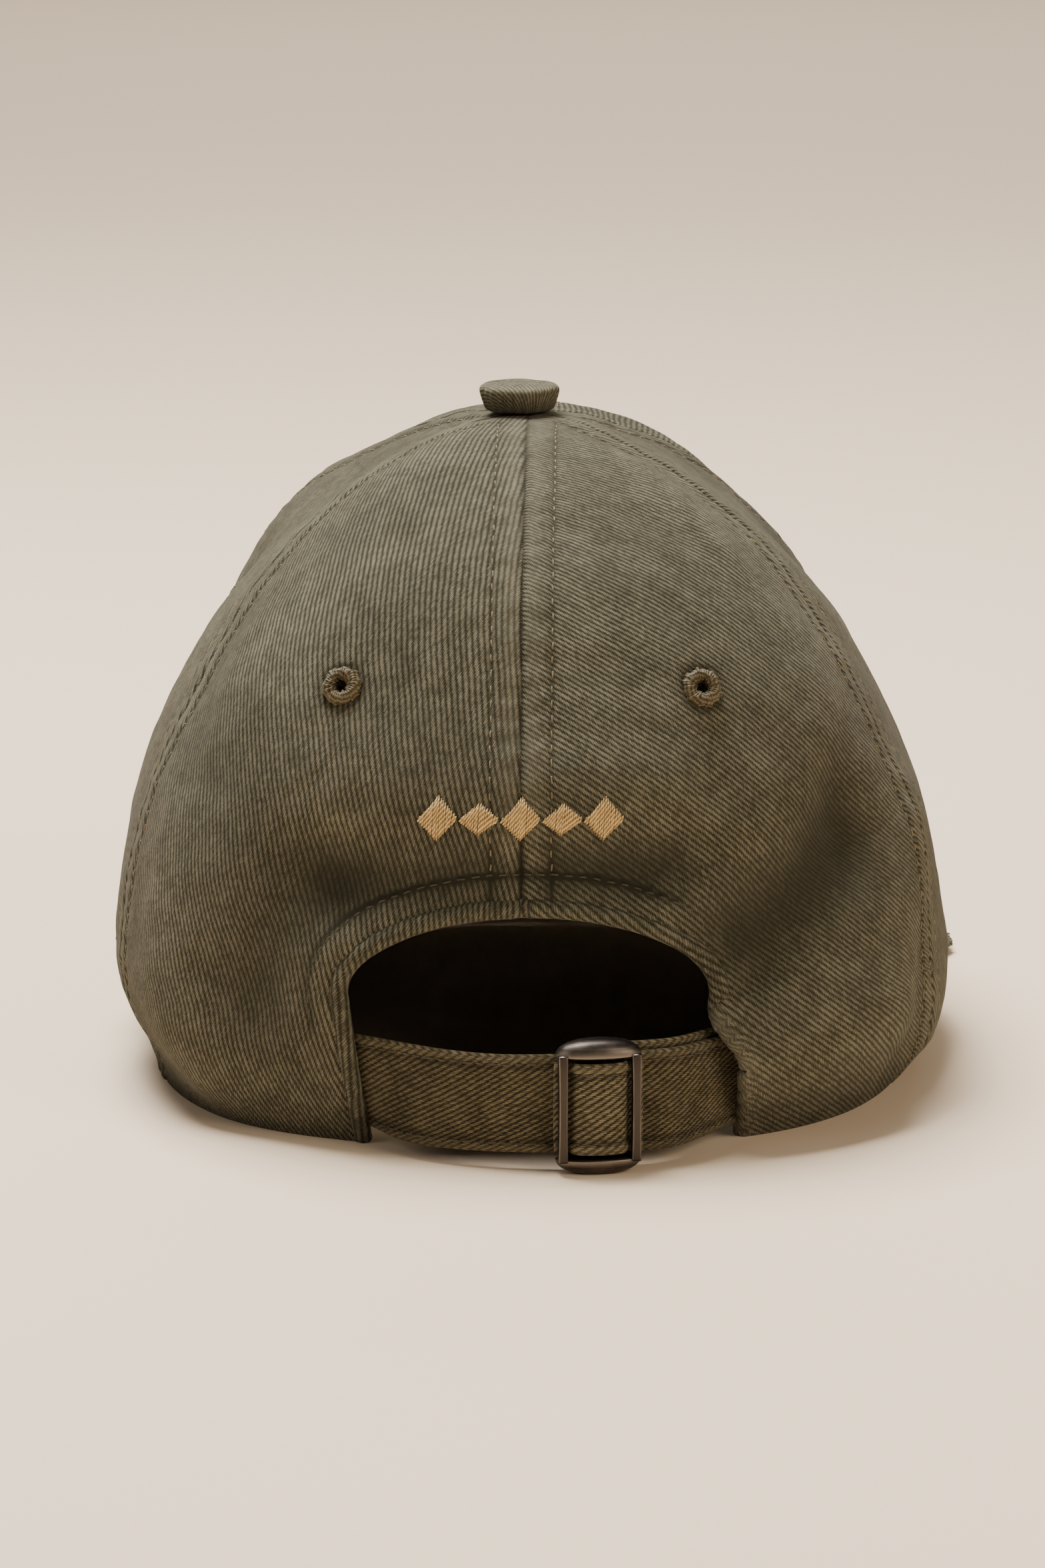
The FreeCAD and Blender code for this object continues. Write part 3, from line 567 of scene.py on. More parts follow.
pressed_metal = worn_metal("pressed_metal", (0.34, 0.33, 0.32), (0.62, 0.60, 0.58), 0.42)


def board_plastic():
    graph = Graph("board_plastic")
    speckle = graph.noise(graph.place(), 700.0, 3.0)
    mottled = graph.mix(speckle, (0.035, 0.035, 0.033), (0.060, 0.060, 0.056))
    return graph.surface(base_color=mottled, roughness=0.6)


# ---- crown panels ----

def opening_right(z):
    """The opening's right side, drawn in above the pocket."""
    drawn_in = smooth_step((z - POCKET_TOP + POCKET_DRAW) / POCKET_DRAW)
    return OPENING_RIGHT_FOOT + (OPENING_CENTRE + OPENING_HALF_WIDTH - OPENING_RIGHT_FOOT) * drawn_in


def opening_distance(x, z):
    """How far a point of the back is outside the opening, negative in it."""
    from_centre = x - OPENING_CENTRE
    above = z - OPENING_SPRING
    radial = np.hypot(from_centre / OPENING_HALF_WIDTH, above / OPENING_RISE)
    slope = np.hypot(from_centre / OPENING_HALF_WIDTH ** 2, above / OPENING_RISE ** 2)
    arch = (radial - 1.0) / np.maximum(slope / np.maximum(radial, 1e-6), 1e-6)
    share = np.clip(z / OPENING_SPRING, 0.0, 1.0)
    left = OPENING_LEFT_FOOT + (OPENING_CENTRE - OPENING_HALF_WIDTH - OPENING_LEFT_FOOT) * share
    sides = np.maximum(left - x, x - opening_right(z))
    return np.where(z >= OPENING_SPRING, arch, sides)


def rear_seam(share):
    return SEAM_REAR_SIDE_RIM + (SEAM_REAR_SIDE_TOP - SEAM_REAR_SIDE_RIM) * share


def constant(value):
    return lambda share: value + 0.0 * share


def mirrored(seam):
    return lambda share: 180.0 - seam(share)


side_front_seam = constant(SEAM_SIDE_FRONT)
PANEL_EDGES = {
    "panel_back_right": (constant(-90.0), rear_seam),
    "panel_side_right": (rear_seam, side_front_seam),
    "panel_front_right": (side_front_seam, constant(90.0)),
    "panel_front_left": (constant(90.0), mirrored(side_front_seam)),
    "panel_side_left": (mirrored(side_front_seam), mirrored(rear_seam)),
    "panel_back_left": (mirrored(rear_seam), constant(270.0)),
}


def even_shares(theta, spacing):
    """Shares of the way from the rim to the apex, evenly spaced along the cloth."""
    share = np.linspace(0.0, 1.0, 2001)
    bottom = rim_row(theta)
    point, _ = crown(theta, bottom + (APEX_ROW - bottom) * share)
    length = lengths_along(point)
    count = int(length[-1] / spacing)
    wanted = np.linspace(0.0, length[-1], count)
    return np.interp(wanted, length, share), wanted


def panel_angles(edges, share, columns):
    """Plan angles of a panel's grid, with its columns closer together beside the seams."""
    start, end = edges[0](share), edges[1](share)
    even = np.linspace(0.0, 1.0, columns)
    part = even - 0.74 * np.sin(TURN * even) / (TURN)
    return np.radians(start[:, None] + (end - start)[:, None] * part[None, :])


SEAM_STITCH = 6.2  # from a seam to its topstitching
HEM_STITCHES = (2.4, 7.4)  # from the opening's edge to its two rows of stitches


def seam_profile(distance):
    """Height of the cloth beside a seam: a narrow valley, a soft ridge, the topstitch's groove."""
    valley = -0.55 * hump(distance, 0.0, 0.5)
    ridge = 0.30 * smooth_step(distance / 1.6) * smooth_step((7.4 - distance) / 2.4)
    groove = -0.34 * hump(distance, SEAM_STITCH, 0.6)
    return valley + ridge + groove


def row_lengths(point):
    """Distance along each row of a grid, from its left edge."""
    steps = np.linalg.norm(np.diff(point, axis=1), axis=2)
    return np.concatenate([np.zeros((point.shape[0], 1)), np.cumsum(steps, axis=1)], axis=1)


def eyelet_place(zone, side):
    angle = EYELET_ANGLES[zone] if side == "right" else 180.0 - EYELET_ANGLES[zone]
    theta = np.array([math.radians(angle)])
    point, normal = soft_crown(theta, row_at_level(theta, EYELET_HEIGHT))
    return point[0], normal[0]


def hem_roll_share(x, z):
    """1 where the opening has a rolled edge, 0 in the pocket on the right."""
    return 1.0 - smooth_step((x - 30.0) / 4.0) * smooth_step((POCKET_TOP + 1.5 - z) / 3.0)


def cloth_distance(x, z):
    """Distance outside the edge of the panels' cloth, which stops under the opening's roll."""
    return opening_distance(x, z) - 1.3 * hem_roll_share(x, z)


def hem_shape(point, normal, distance, rolled):
    """Ridges and grooves of the hem round the opening, with wear along them and painted shade in the outer
    stitch groove.
    """
    x, z = point[..., 0], point[..., 2]
    folded = (1.0 - smooth_step((x - 28.0) / 10.0)) * np.where(x < 0.0, smooth_step((z - 20.0) / 12.0), 1.0)
    inner, outer = HEM_STITCHES
    plateau = 0.50 * smooth_step((distance - 2.2) / 1.2) * smooth_step((outer + 0.8 - distance) / 1.4)
    grooves = -0.38 * hump(distance, inner, 0.7) * rolled
    grooves = grooves - 0.40 * hump(distance, outer, 0.7) * folded
    crumple = 0.15 * waves(point, 7.0, 21) * hump(distance, 5.0, 3.5)
    lift = plateau * folded + grooves + crumple * rolled
    # Paler along the hem's plateau and the pocket's edge from wear; painted shade in the outer stitch
    # groove.
    wear_and_shade = (0.15 * hump(distance, 4.8, 1.8)
            - 0.9 * hump(distance, outer, 0.6)) * folded
    wear_and_shade = wear_and_shade + (1.0 - rolled) * 0.9 * hump(distance, 0.0, 2.0)
    return point + normal * lift[..., None], wear_and_shade


# How far a panel is cut off the straight grain, in degrees.
GRAIN_TURNS = {"panel_back_left": 12.0, "panel_back_right": -23.0}
HOLLOW_SHADE = 0.19  # painted shade: how much darker the cloth is painted for each millimetre of hollow, and paler for the half millimetre of rise let through
CLOTH_THICKNESS, HEMMED_THICKNESS, RIM_HEM = 1.1, 2.2, 7.0
EYELET_HOLE = 2.0  # radius of the hole cut in the cloth; the ring's own hole is smaller
SURFACES = {}  # each panel's grid of points and normals, for what is sewn to it
STITCHES = []  # every stitch on the crown, as (points, normals)


def crown_panel(name, spacing):
    edges = PANEL_EDGES[name]
    zone, side = name.split("_")[1:]
    middle = math.radians((edges[0](0.0) + edges[1](0.0)) / 2.0)
    share, length = even_shares(middle, spacing)
    ends = [crown(math.radians(edge(0.0)), -0.1)[0] for edge in edges]
    columns = int(np.linalg.norm(ends[0] - ends[1]) * 1.25 / spacing)
    theta = panel_angles(edges, share, columns)
    bottom = rim_row(theta)
    row = bottom + (APEX_ROW - bottom) * share[:, None]
    point, normal = soft_crown(theta, row)
    soft = np.clip(soft_height(crown(theta, row)[0]), -5.0, 0.5)
    across = row_lengths(point)
    total = across[:, -1:]
    to_seam = np.minimum(across, total - across)
    near_top = smooth_step((CROWN_HEIGHT - 0.2 - point[..., 2]) / 1.5)
    pucker = 0.12 * np.sin(length[:, None] * TURN / 6.5 + 2.0 * waves(point, 30.0, 11))
    lift = seam_profile(to_seam) + pucker * hump(to_seam, 3.0, 3.5)
    point = point + normal * (lift * (0.15 + 0.85 * near_top))[..., None]
    hemmed = 1.0 - smooth_step((length[:, None] + 0.0 * theta) / RIM_HEM)
    thick = CLOTH_THICKNESS + (HEMMED_THICKNESS - CLOTH_THICKNESS) * hemmed
    # Paler along the worn ridges beside each seam; painted shade in the seam's valley and in the topstitch
    # groove.
    wear_and_shade = 0.55 * hump(to_seam, 2.2, 1.8) - 0.8 * hump(to_seam, 0.0, 0.45)
    wear_and_shade -= 0.7 * hump(to_seam, SEAM_STITCH, 0.5)
    wear_and_shade += 0.8 * np.exp(-((length[:, None] + 0.4) / 1.1) ** 2)
    keep = None
    if zone == "back":
        distance = opening_distance(point[..., 0], point[..., 2])
        rolled = hem_roll_share(point[..., 0], point[..., 2])
        distance = np.clip(distance, 0.0, 30.0)
        point, hem_wear_and_shade = hem_shape(point, normal, distance, rolled)
        wear_and_shade += hem_wear_and_shade
        thick = thick + (1.0 + 1.2 * (1.0 - rolled)) * (1.0 - smooth_step(distance / 8.0))
        SURFACES[name] = (point, grid_normals(point)[0])
        outside = cloth_distance(point[..., 0], point[..., 2]) > -0.3 * spacing
        keep = whole_quads(outside)
        point = snap_to_opening(point, normal, keep)
    else:
        SURFACES[name] = (point, grid_normals(point)[0])
    seam_stitches(*SURFACES[name], across, total)
    centre, axis = eyelet_place({"back": "rear", "side": "side", "front": "front"}[zone], side)
    from_axis = point - centre
    radial = np.linalg.norm(from_axis - (from_axis @ axis)[..., None] * axis, axis=-1)
    radial = np.where(np.linalg.norm(from_axis, axis=-1) < 12.0, radial, 99.0)
    whole = whole_quads(radial > EYELET_HOLE)
    keep = whole if keep is None else keep & whole
    point = point - axis * (0.5 * hump(radial, 3.0, 1.6))[..., None]
    # Painted shade round the foot of the eyelet's raised ring.
    wear_and_shade -= 0.9 * hump(radial, 4.7, 0.6)
    # Painted shade in the dents and folds, and a little painted light on their rises, from the soft height.
    wear_and_shade = wear_and_shade + HOLLOW_SHADE * soft
    uv = np.stack([across - total / 2.0, np.broadcast_to(length[:, None], theta.shape)], -1)
    turn = math.radians(GRAIN_TURNS.get(name, 0.0))
    uv = uv @ np.array([[math.cos(turn), math.sin(turn)], [-math.sin(turn), math.cos(turn)]])
    piece = sheet_mesh(name + "_cloth", point, thick, uv, keep, wear_and_shade, roll=0.9)
    return place(piece, "crown", crown_twill, [name])


def even_path(path, normal, spacing):
    """The same path with points an even distance apart."""
    length = lengths_along(path)
    wanted = np.linspace(0.0, length[-1], max(int(length[-1] / spacing), 2))
    at = [np.interp(wanted, length, path[:, axis]) for axis in range(3)]
    facing = [np.interp(wanted, length, normal[:, axis]) for axis in range(3)]
    return np.stack(at, -1), unit(np.stack(facing, -1))


STITCH_RISE = np.array([-0.32, 0.02, 0.10, 0.10, 0.02, -0.32])  # a stitch's height along its length


def stitch_row(path, normal, stitch, gap, lift, seed):
    """Separate stitches along a path: each dips into the cloth at both ends."""
    random = np.random.default_rng(seed)
    step = 0.25
    path, normal = even_path(np.asarray(path), np.asarray(normal), step)
    row = []
    position = 1.0
    while position + stitch + 1.0 < len(path) * step:
        size = stitch * random.uniform(0.9, 1.08)
        at = np.linspace(position, position + size, 6) / step
        index = np.minimum(at.astype(int), len(path) - 2)
        part = (at - index)[:, None]
        points = path[index] * (1.0 - part) + path[index + 1] * part
        facing = normal[index]
        rise = STITCH_RISE + lift
        side = np.cross(facing, unit(np.gradient(points, axis=0)))
        sway = random.uniform(-0.10, 0.10) + np.linspace(-0.5, 0.5, 6) * random.uniform(-0.22, 0.22)
        row.append((points + facing * rise[:, None] + side * sway[:, None], facing))
        position += size + gap * random.uniform(0.85, 1.2)
    return row


def seam_stitches(point, normal, across, total):
    """A row of topstitching on each side of the panel, a fixed distance in from its seams."""
    clear = opening_distance(point[..., 0], point[..., 2])
    behind = point[..., 1] < -20.0
    for side in (0, 1):
        rows, facing = [], []
        for index in range(len(point)):
            if total[index, 0] < 2.0 * SEAM_STITCH + 1.0:
                break
            wanted = SEAM_STITCH if side == 0 else total[index, 0] - SEAM_STITCH
            place_at = [np.interp(wanted, across[index], point[index, :, axis]) for axis in range(3)]
            nearest = int(np.searchsorted(across[index], wanted))
            if behind[index, nearest] and clear[index, nearest] < HEM_STITCHES[1] - 1.0:
                continue
            rows.append(place_at)
            facing.append(normal[index, nearest])
        STITCHES.extend(stitch_row(rows, facing, 1.9, 1.3, 0.02, seed=len(STITCHES)))


def snap_to_opening(point, normal, keep):
    """Move the vertices at the edge of what is kept onto the opening's outline."""
    rows, columns = point.shape[:2]
    kept = np.zeros((rows, columns), bool)
    dropped = np.zeros((rows, columns), bool)
    for i in (0, 1):
        for j in (0, 1):
            kept[i:rows - 1 + i, j:columns - 1 + j] |= keep
            dropped[i:rows - 1 + i, j:columns - 1 + j] |= ~keep
    edge = kept & dropped
    at_edge, facing, step = point[edge], normal[edge], 0.05
    x, z = at_edge[:, 0], at_edge[:, 2]
    for _ in range(4):
        dx = (cloth_distance(x + step, z) - cloth_distance(x - step, z)) / (2.0 * step)
        dz = (cloth_distance(x, z + step) - cloth_distance(x, z - step)) / (2.0 * step)
        reduce = cloth_distance(x, z) / np.maximum(dx ** 2 + dz ** 2, 0.2)
        x, z = x - np.clip(reduce * dx, -1.0, 1.0), z - np.clip(reduce * dz, -1.0, 1.0)
    move_x, move_z = x - at_edge[:, 0], z - at_edge[:, 2]
    move_y = -(facing[:, 0] * move_x + facing[:, 2] * move_z) / np.minimum(facing[:, 1], -0.2)
    snapped = point.copy()
    snapped[edge] += np.stack([move_x, move_y, move_z], -1)
    return snapped


BACK_SPACING, OTHER_SPACING = 1.0, 1.5  # of the panels' grids; the back is the side that is seen closest
for panel_name in PANEL_EDGES:
    crown_panel(panel_name, BACK_SPACING if "back" in panel_name else OTHER_SPACING)


# ---- hem of the opening ----

def surface_tree():
    """The back panels' points below the embroidery, to be found by their x and z."""
    points, normals = (np.concatenate([SURFACES[name][part].reshape(-1, 3) for name in
                                       ("panel_back_left", "panel_back_right")]) for part in (0, 1))
    near = (points[:, 2] < 82.0) & (np.abs(points[:, 0]) < 66.0)
    points, normals = points[near], normals[near]
    tree = kdtree.KDTree(len(points))
    for index, (x, _, z) in enumerate(points):
        tree.insert((x, z, 0.0), index)
    tree.balance()
    return tree, points, normals


BACK_TREE = surface_tree()


def on_back(x, z, smoothing=4):
    """Points and normals of the back of the crown at given x and z, smoothed over near points."""
    tree, points, normals = BACK_TREE
    x, z = np.broadcast_arrays(x, z)
    found, facing = np.zeros(x.shape + (3,)), np.zeros(x.shape + (3,))
    for place_at in np.ndindex(x.shape):
        nearest = tree.find_n((x[place_at], z[place_at], 0.0), smoothing)
        weight = np.array([1.0 / (item[2] + 0.012 * smoothing) ** 2 for item in nearest])
        index = [item[1] for item in nearest]
        weight /= weight.sum()
        normal = unit(weight @ normals[index])
        base = weight @ points[index]
        at_x, at_z = x[place_at], z[place_at]
        depth = base[1] - (normal[0] * (at_x - base[0]) + normal[2] * (at_z - base[2])) / normal[1]
        found[place_at] = (at_x, depth, at_z)
        facing[place_at] = normal
    return found, facing


def opening_path(right_end, count=240):
    """Points along the opening's edge from its left foot over the arch, and outward directions."""
    left = np.linspace(0.3, OPENING_SPRING, 40)[:-1]
    turn = np.linspace(math.pi, 0.0, 120)
    right = np.linspace(OPENING_SPRING, right_end, 40)[1:]
    spring_left = OPENING_CENTRE - OPENING_HALF_WIDTH
    left_x = OPENING_LEFT_FOOT + (spring_left - OPENING_LEFT_FOOT) * left / OPENING_SPRING
    x = np.concatenate([left_x, OPENING_CENTRE + OPENING_HALF_WIDTH * np.cos(turn), opening_right(right)])
    z = np.concatenate([left, OPENING_SPRING + OPENING_RISE * np.sin(turn), right])
    length = np.concatenate([[0.0], np.cumsum(np.hypot(np.diff(x), np.diff(z)))])
    wanted = np.linspace(0.0, length[-1], count)
    x, z = np.interp(wanted, length, x), np.interp(wanted, length, z)
    along_x, along_z = np.gradient(x), np.gradient(z)
    size = np.hypot(along_x, along_z)
    return x, z, -along_z / size, along_x / size, wanted


# The rolled edge in section: distance outside the opening's edge, and height over the cloth.
ROLL_SECTION = ((2.7, -0.7), (2.35, -0.05), (2.0, 0.30), (1.5, 0.52), (0.9, 0.52), (0.4, 0.32),
                (0.0, -0.1), (-0.25, -0.6), (-0.3, -1.2), (0.0, -1.8), (0.7, -2.1), (2.0, -2.2),
                (4.5, -2.25), (8.0, -2.25))


def dense_section(section, spacing):
    """A section's points joined by a smooth curve, with its points closer together."""
    section = np.array(section)
    steps = lengths_along(section)
    wanted = np.arange(0.0, steps[-1], spacing)
    dense = np.stack([np.interp(wanted, steps, section[:, axis]) for axis in range(2)], -1)
    return smoothed(dense), wanted


def opening_roll():
    x, z, out_x, out_z, length = opening_path(POCKET_TOP - 3.0, 300)
    section, girth = dense_section(ROLL_SECTION, 0.38)
    reach, height = section[:, 0][:, None], section[:, 1][:, None]
    tuck = smooth_step((length[-1] - length) / 5.0)
    base, normal = on_back(x + out_x * np.maximum(reach, 0.0), z + out_z * np.maximum(reach, 0.0))
    base[..., 0] += np.minimum(reach, 0.0) * out_x
    base[..., 2] += np.minimum(reach, 0.0) * out_z
    bumps = 0.10 * waves(base, 5.0, 31) + 0.07 * np.sin(length * TURN / 3.3)[None, :]
    lift = height + bumps * (height > -1.5) - 2.2 * (1.0 - tuck)[None, :]
    point = base + normal * lift[..., None]
    spread = ROLL_SECTION[0][0] - girth[:, None]
    turn = np.radians(np.where(x < OPENING_CENTRE, 28.0, -23.0))[None, :]
    across, up = x + out_x * spread, z + out_z * spread
    cosine, sine = np.cos(turn), np.sin(turn)
    uv = np.stack([across * cosine - up * sine, across * sine + up * cosine], -1)
    # Painted shade: the roll darkened as if in the shadow of the crown's bulge above it, deepest in the
    # crease where it meets the cloth and on its turned-under side.
    wear_and_shade = -0.25 * hump(reach, 0.7, 1.0) - 1.0 * hump(reach, 2.6, 0.4)
    wear_and_shade = np.where(height < -1.0, -0.3, wear_and_shade) + 0.0 * lift
    piece = sheet_mesh("opening_rolled_hem", point, 0.45, uv, None, wear_and_shade)
    place(piece, "crown", crown_twill, ["arch_facing"])
    rows = []
    for row_place in HEM_STITCHES:
        x, z, out_x, out_z, _ = opening_path(POCKET_TOP - 1.0, 260)
        if row_place == HEM_STITCHES[1]:
            folded = (x < 33.0) & ((x > 0.0) | (z > 25.0))
            x, z, out_x, out_z = x[folded], z[folded], out_x[folded], out_z[folded]
        path, normal = on_back(x + out_x * row_place, z + out_z * row_place)
        rows.extend(stitch_row(path, normal, 1.9, 0.9, 0.04, seed=int(row_place)))
    sew("opening_hem_stitching", rows, 0.19, dark_thread, sides=6)


opening_roll()
sew("crown_topstitching", STITCHES, 0.17, seam_thread, sides=6)


# ---- eyelets ----

def frame_at(normal):
    """Two directions in the surface: level to the right, and up."""
    right = unit(np.cross(np.array([0.0, 0.0, 1.0]), normal))
    return right, np.cross(normal, right)


EYELET_THREADS, EYELET_RING, EYELET_HALF_BREADTH = 34, 2.7, 1.42


def eyelet(zone, side):
    """Ring of close buttonhole stitches, each thread wrapped over the edge of the hole."""
    centre, normal = eyelet_place(zone, side)
    right, up = frame_at(normal)
    random = np.random.default_rng(int(abs(EYELET_ANGLES[zone])) + (side == "left"))
    threads, samples, sections = EYELET_THREADS, 8, 26
    station = np.arange(threads * samples)
    around = station * TURN / len(station)
    thread_number = station // samples
    inside = (station % samples + 0.5) / samples
    ridge = 0.24 * (np.sin(math.pi * inside) ** 0.6 - 0.6)
    reach = random.uniform(-0.75, 0.60, threads)[thread_number] * np.sin(math.pi * inside) ** 0.5
    height = random.uniform(-0.25, 0.22, threads)[thread_number]
    inner = random.uniform(-0.30, 0.25, threads)[thread_number]
    slant = random.uniform(-0.09, 0.09, threads)[thread_number]
    section = np.linspace(0.0, TURN, sections, endpoint=False)
    outward = np.cos(section)[:, None]
    spread = 0.55 * reach * (outward > 0.0) + inner * (outward < 0.0)
    radial = EYELET_RING + outward * (EYELET_HALF_BREADTH + ridge + spread)
    level = np.sin(section)[:, None] * (1.28 + ridge + height) + 0.35 - 0.25 * (outward > 0.6)
    twist = around[None, :] + 0.10 * np.sin(section)[:, None] + slant * outward
    direction = right * np.cos(twist)[..., None] + up * np.sin(twist)[..., None]
    point = centre + direction * radial[..., None] + normal * level[..., None]
    uv = np.stack(np.broadcast_arrays(around * 2.75, section[:, None] * 1.3), -1)
    name = "eyelet_" + zone + "_" + side
    faces = ring_faces(sections, len(around), True)
    piece = new_object(name + "_stitched", point.reshape(-1, 3), faces, uv.reshape(-1, 2))
    return place(piece, "crown", eyelet_thread, [name])


for eyelet_zone in EYELET_ANGLES:
    for eyelet_side in ("left", "right"):
        eyelet(eyelet_zone, eyelet_side)


# ---- raised motif: five lozenges in satin stitch ----

LOZENGES, SATIN_PITCH, SATIN_RADIUS = 5, 0.42, 0.235


def satin_motif():
    low, high = (np.array(corner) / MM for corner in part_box("rear_embroidery"))
    middle_level = (low[2] + high[2]) / 2.0
    pitch = (high[0] - low[0]) / 4.84
    full = (high[2] - low[2]) / 2.0
    random = np.random.default_rng(41)
    threads = []
    for index in range(LOZENGES):
        centre = (index - (LOZENGES - 1) / 2.0) * pitch
        half = pitch * 0.46
        tall = full * (1.10 if index % 2 == 0 else 0.78)
        for offset in np.arange(-half + 0.2, half, SATIN_PITCH):
            room = 1.0 - abs(offset) / half
            reach = tall * room + 0.25 + random.uniform(-0.07, 0.07)
            steps = np.linspace(-1.0, 1.0, 9)
            x = centre + offset + steps * 0.30 + random.uniform(-0.07, 0.07)
            z = middle_level + steps * reach
            base, normal = on_back(x, z, 120)
            dome = 0.30 + (0.36 + 0.50 * room) * np.maximum(1.0 - steps ** 4, 0.0) - 0.30 * steps ** 8
            threads.append((base + normal * dome[:, None], normal))
    piece = tube_mesh("satin_stitch_lozenges", threads, SATIN_RADIUS, sides=7, flatten=0.9)
    return place(piece, "crown", gold_thread, ["rear_embroidery"])


satin_motif()


# ---- bands that follow the inside of the crown ----

def level_row(level):
    return lambda theta: row_at_level(theta, level)


def inner_band(name, edges, bottom, top, depth, thickness, material, node, spacing=2.5,
               turned=False, ruffle=0.0, thread_rows=()):
    """Sheet inside the crown between two plan angles and two rows."""
    middle = math.radians(float(edges[0](0.5) + edges[1](0.5)) / 2.0)
    share = np.linspace(0.0, 1.0, 400)
    rows_at = bottom(middle) + (top(middle) - bottom(middle)) * share
    length = lengths_along(crown(middle, rows_at, depth)[0])
    count = max(int(length[-1] / spacing), 5)
    share = np.interp(np.linspace(0.0, length[-1], count), length, share)
    start, end = edges[0](share), edges[1](share)
    ends = [crown(math.radians(float(angles[0])), -0.2)[0] for angles in (start, end)]
    width = np.linalg.norm(ends[0] - ends[1])
    span = math.radians(abs(float(end[0] - start[0]))) * 88.0
    columns = max(int(max(width, span) / spacing), 5)
    theta = np.radians(start[:, None] + (end - start)[:, None] * np.linspace(0.0, 1.0, columns)[None, :])
    low, high = bottom(theta), top(theta)
    row = low + (high - low) * share[:, None]
    ripple = ruffle * waves(crown(theta, row)[0], 20.0, len(name))
    point, _ = soft_crown(theta, row, depth + ripple)
    across = row_lengths(point)
    up = np.linspace(0.0, length[-1], count)[:, None] + 0.0 * across
    uv = np.stack([across - across[:, -1:] / 2.0, up], -1)
    if turned:
        uv = np.stack([-up, across], -1)
    piece = sheet_mesh(name, point, thickness, uv)
    place(piece, "crown", material, [node])
    rows = []
    normal = grid_normals(point)[0]
    for from_edge in thread_rows:
        index = int(round(abs(from_edge) / (length[-1] / (count - 1))))
        index = index if from_edge > 0.0 else count - 1 - index
        inner = point[index] - normal[index] * thickness
        rows.extend(stitch_row(inner[::-1], -normal[index][::-1], 2.6, 1.0, 0.1, seed=index))
    return piece, rows


TAPE_HALF_WIDTH = 5.525
TAPE_TOP_ROW = math.acos(0.16) * 2.0 / math.pi  # the tapes stop short of the apex


def tape_edges(seam, side):
    """One edge of the tape along a seam."""
    def edge(share):
        theta = np.radians(seam(share))
        centre, _ = crown(theta, -1.0 + share * (TAPE_TOP_ROW + 1.0))
        radius = np.maximum(np.hypot(centre[..., 0], centre[..., 1]), 8.0)
        return seam(share) + side * np.degrees(TAPE_HALF_WIDTH / radius)
    return edge


above_opening = level_row(OPENING_SPRING + OPENING_RISE + 10.0)
TAPE_SEAMS = {
    "seam_tape_rear_right": (rear_seam, rim_row),
    "seam_tape_front_right": (side_front_seam, rim_row),
    "seam_tape_front_centre": (constant(90.0), rim_row),
    "seam_tape_front_left": (mirrored(side_front_seam), rim_row),
    "seam_tape_rear_left": (mirrored(rear_seam), rim_row),
    "seam_tape_back_centre": (constant(270.0), above_opening),
}
for tape_name, (tape_seam, tape_bottom) in TAPE_SEAMS.items():
    tape_sides = (tape_edges(tape_seam, -1.0), tape_edges(tape_seam, 1.0))
    inner_band(tape_name + "_woven", tape_sides, tape_bottom, constant(TAPE_TOP_ROW), 2.3, 0.5, tape_cloth,
               tape_name, 1.8, ruffle=0.08)

BACKING_TOP = 88.0
BACKING_SPANS = {"right": (35.0, 89.0), "left": (91.0, 145.0)}
for backing_side, backing_span in BACKING_SPANS.items():
    inner_band("front_backing_" + backing_side + "_buckram", [constant(edge) for edge in backing_span],
               rim_row, level_row(BACKING_TOP), 1.6, 0.4, buckram_cloth,
               "front_backing_" + backing_side)


def above_rim(rise):
    return lambda theta: row_at_level(theta, rim_level(theta) + rise)


_, band_rows = inner_band("sweatband_folded", (constant(-55.5), constant(246.0)), above_rim(0.6),
                          above_rim(30.0), 5.2, 0.8, band_twill, "sweatband", 2.0,
                          turned=True, ruffle=0.22, thread_rows=(3.0, -2.2))
padding, _ = inner_band("sweatband_foam", (constant(25.0), constant(155.0)), above_rim(4.0),
                        above_rim(26.0), 4.25, 0.6, foam_cloth, "sweatband_padding", 3.0)
_, label_rows = inner_band("care_label_blank", (constant(203.0), constant(221.0)), level_row(5.0),
                           level_row(27.0), 6.35, 0.3, label_cloth, "care_label", 1.2,
                           ruffle=0.1, thread_rows=(1.2, -1.2))
sew("sweatband_stitching", band_rows + label_rows, INNER_THREAD, dark_thread)


# ---- button ----

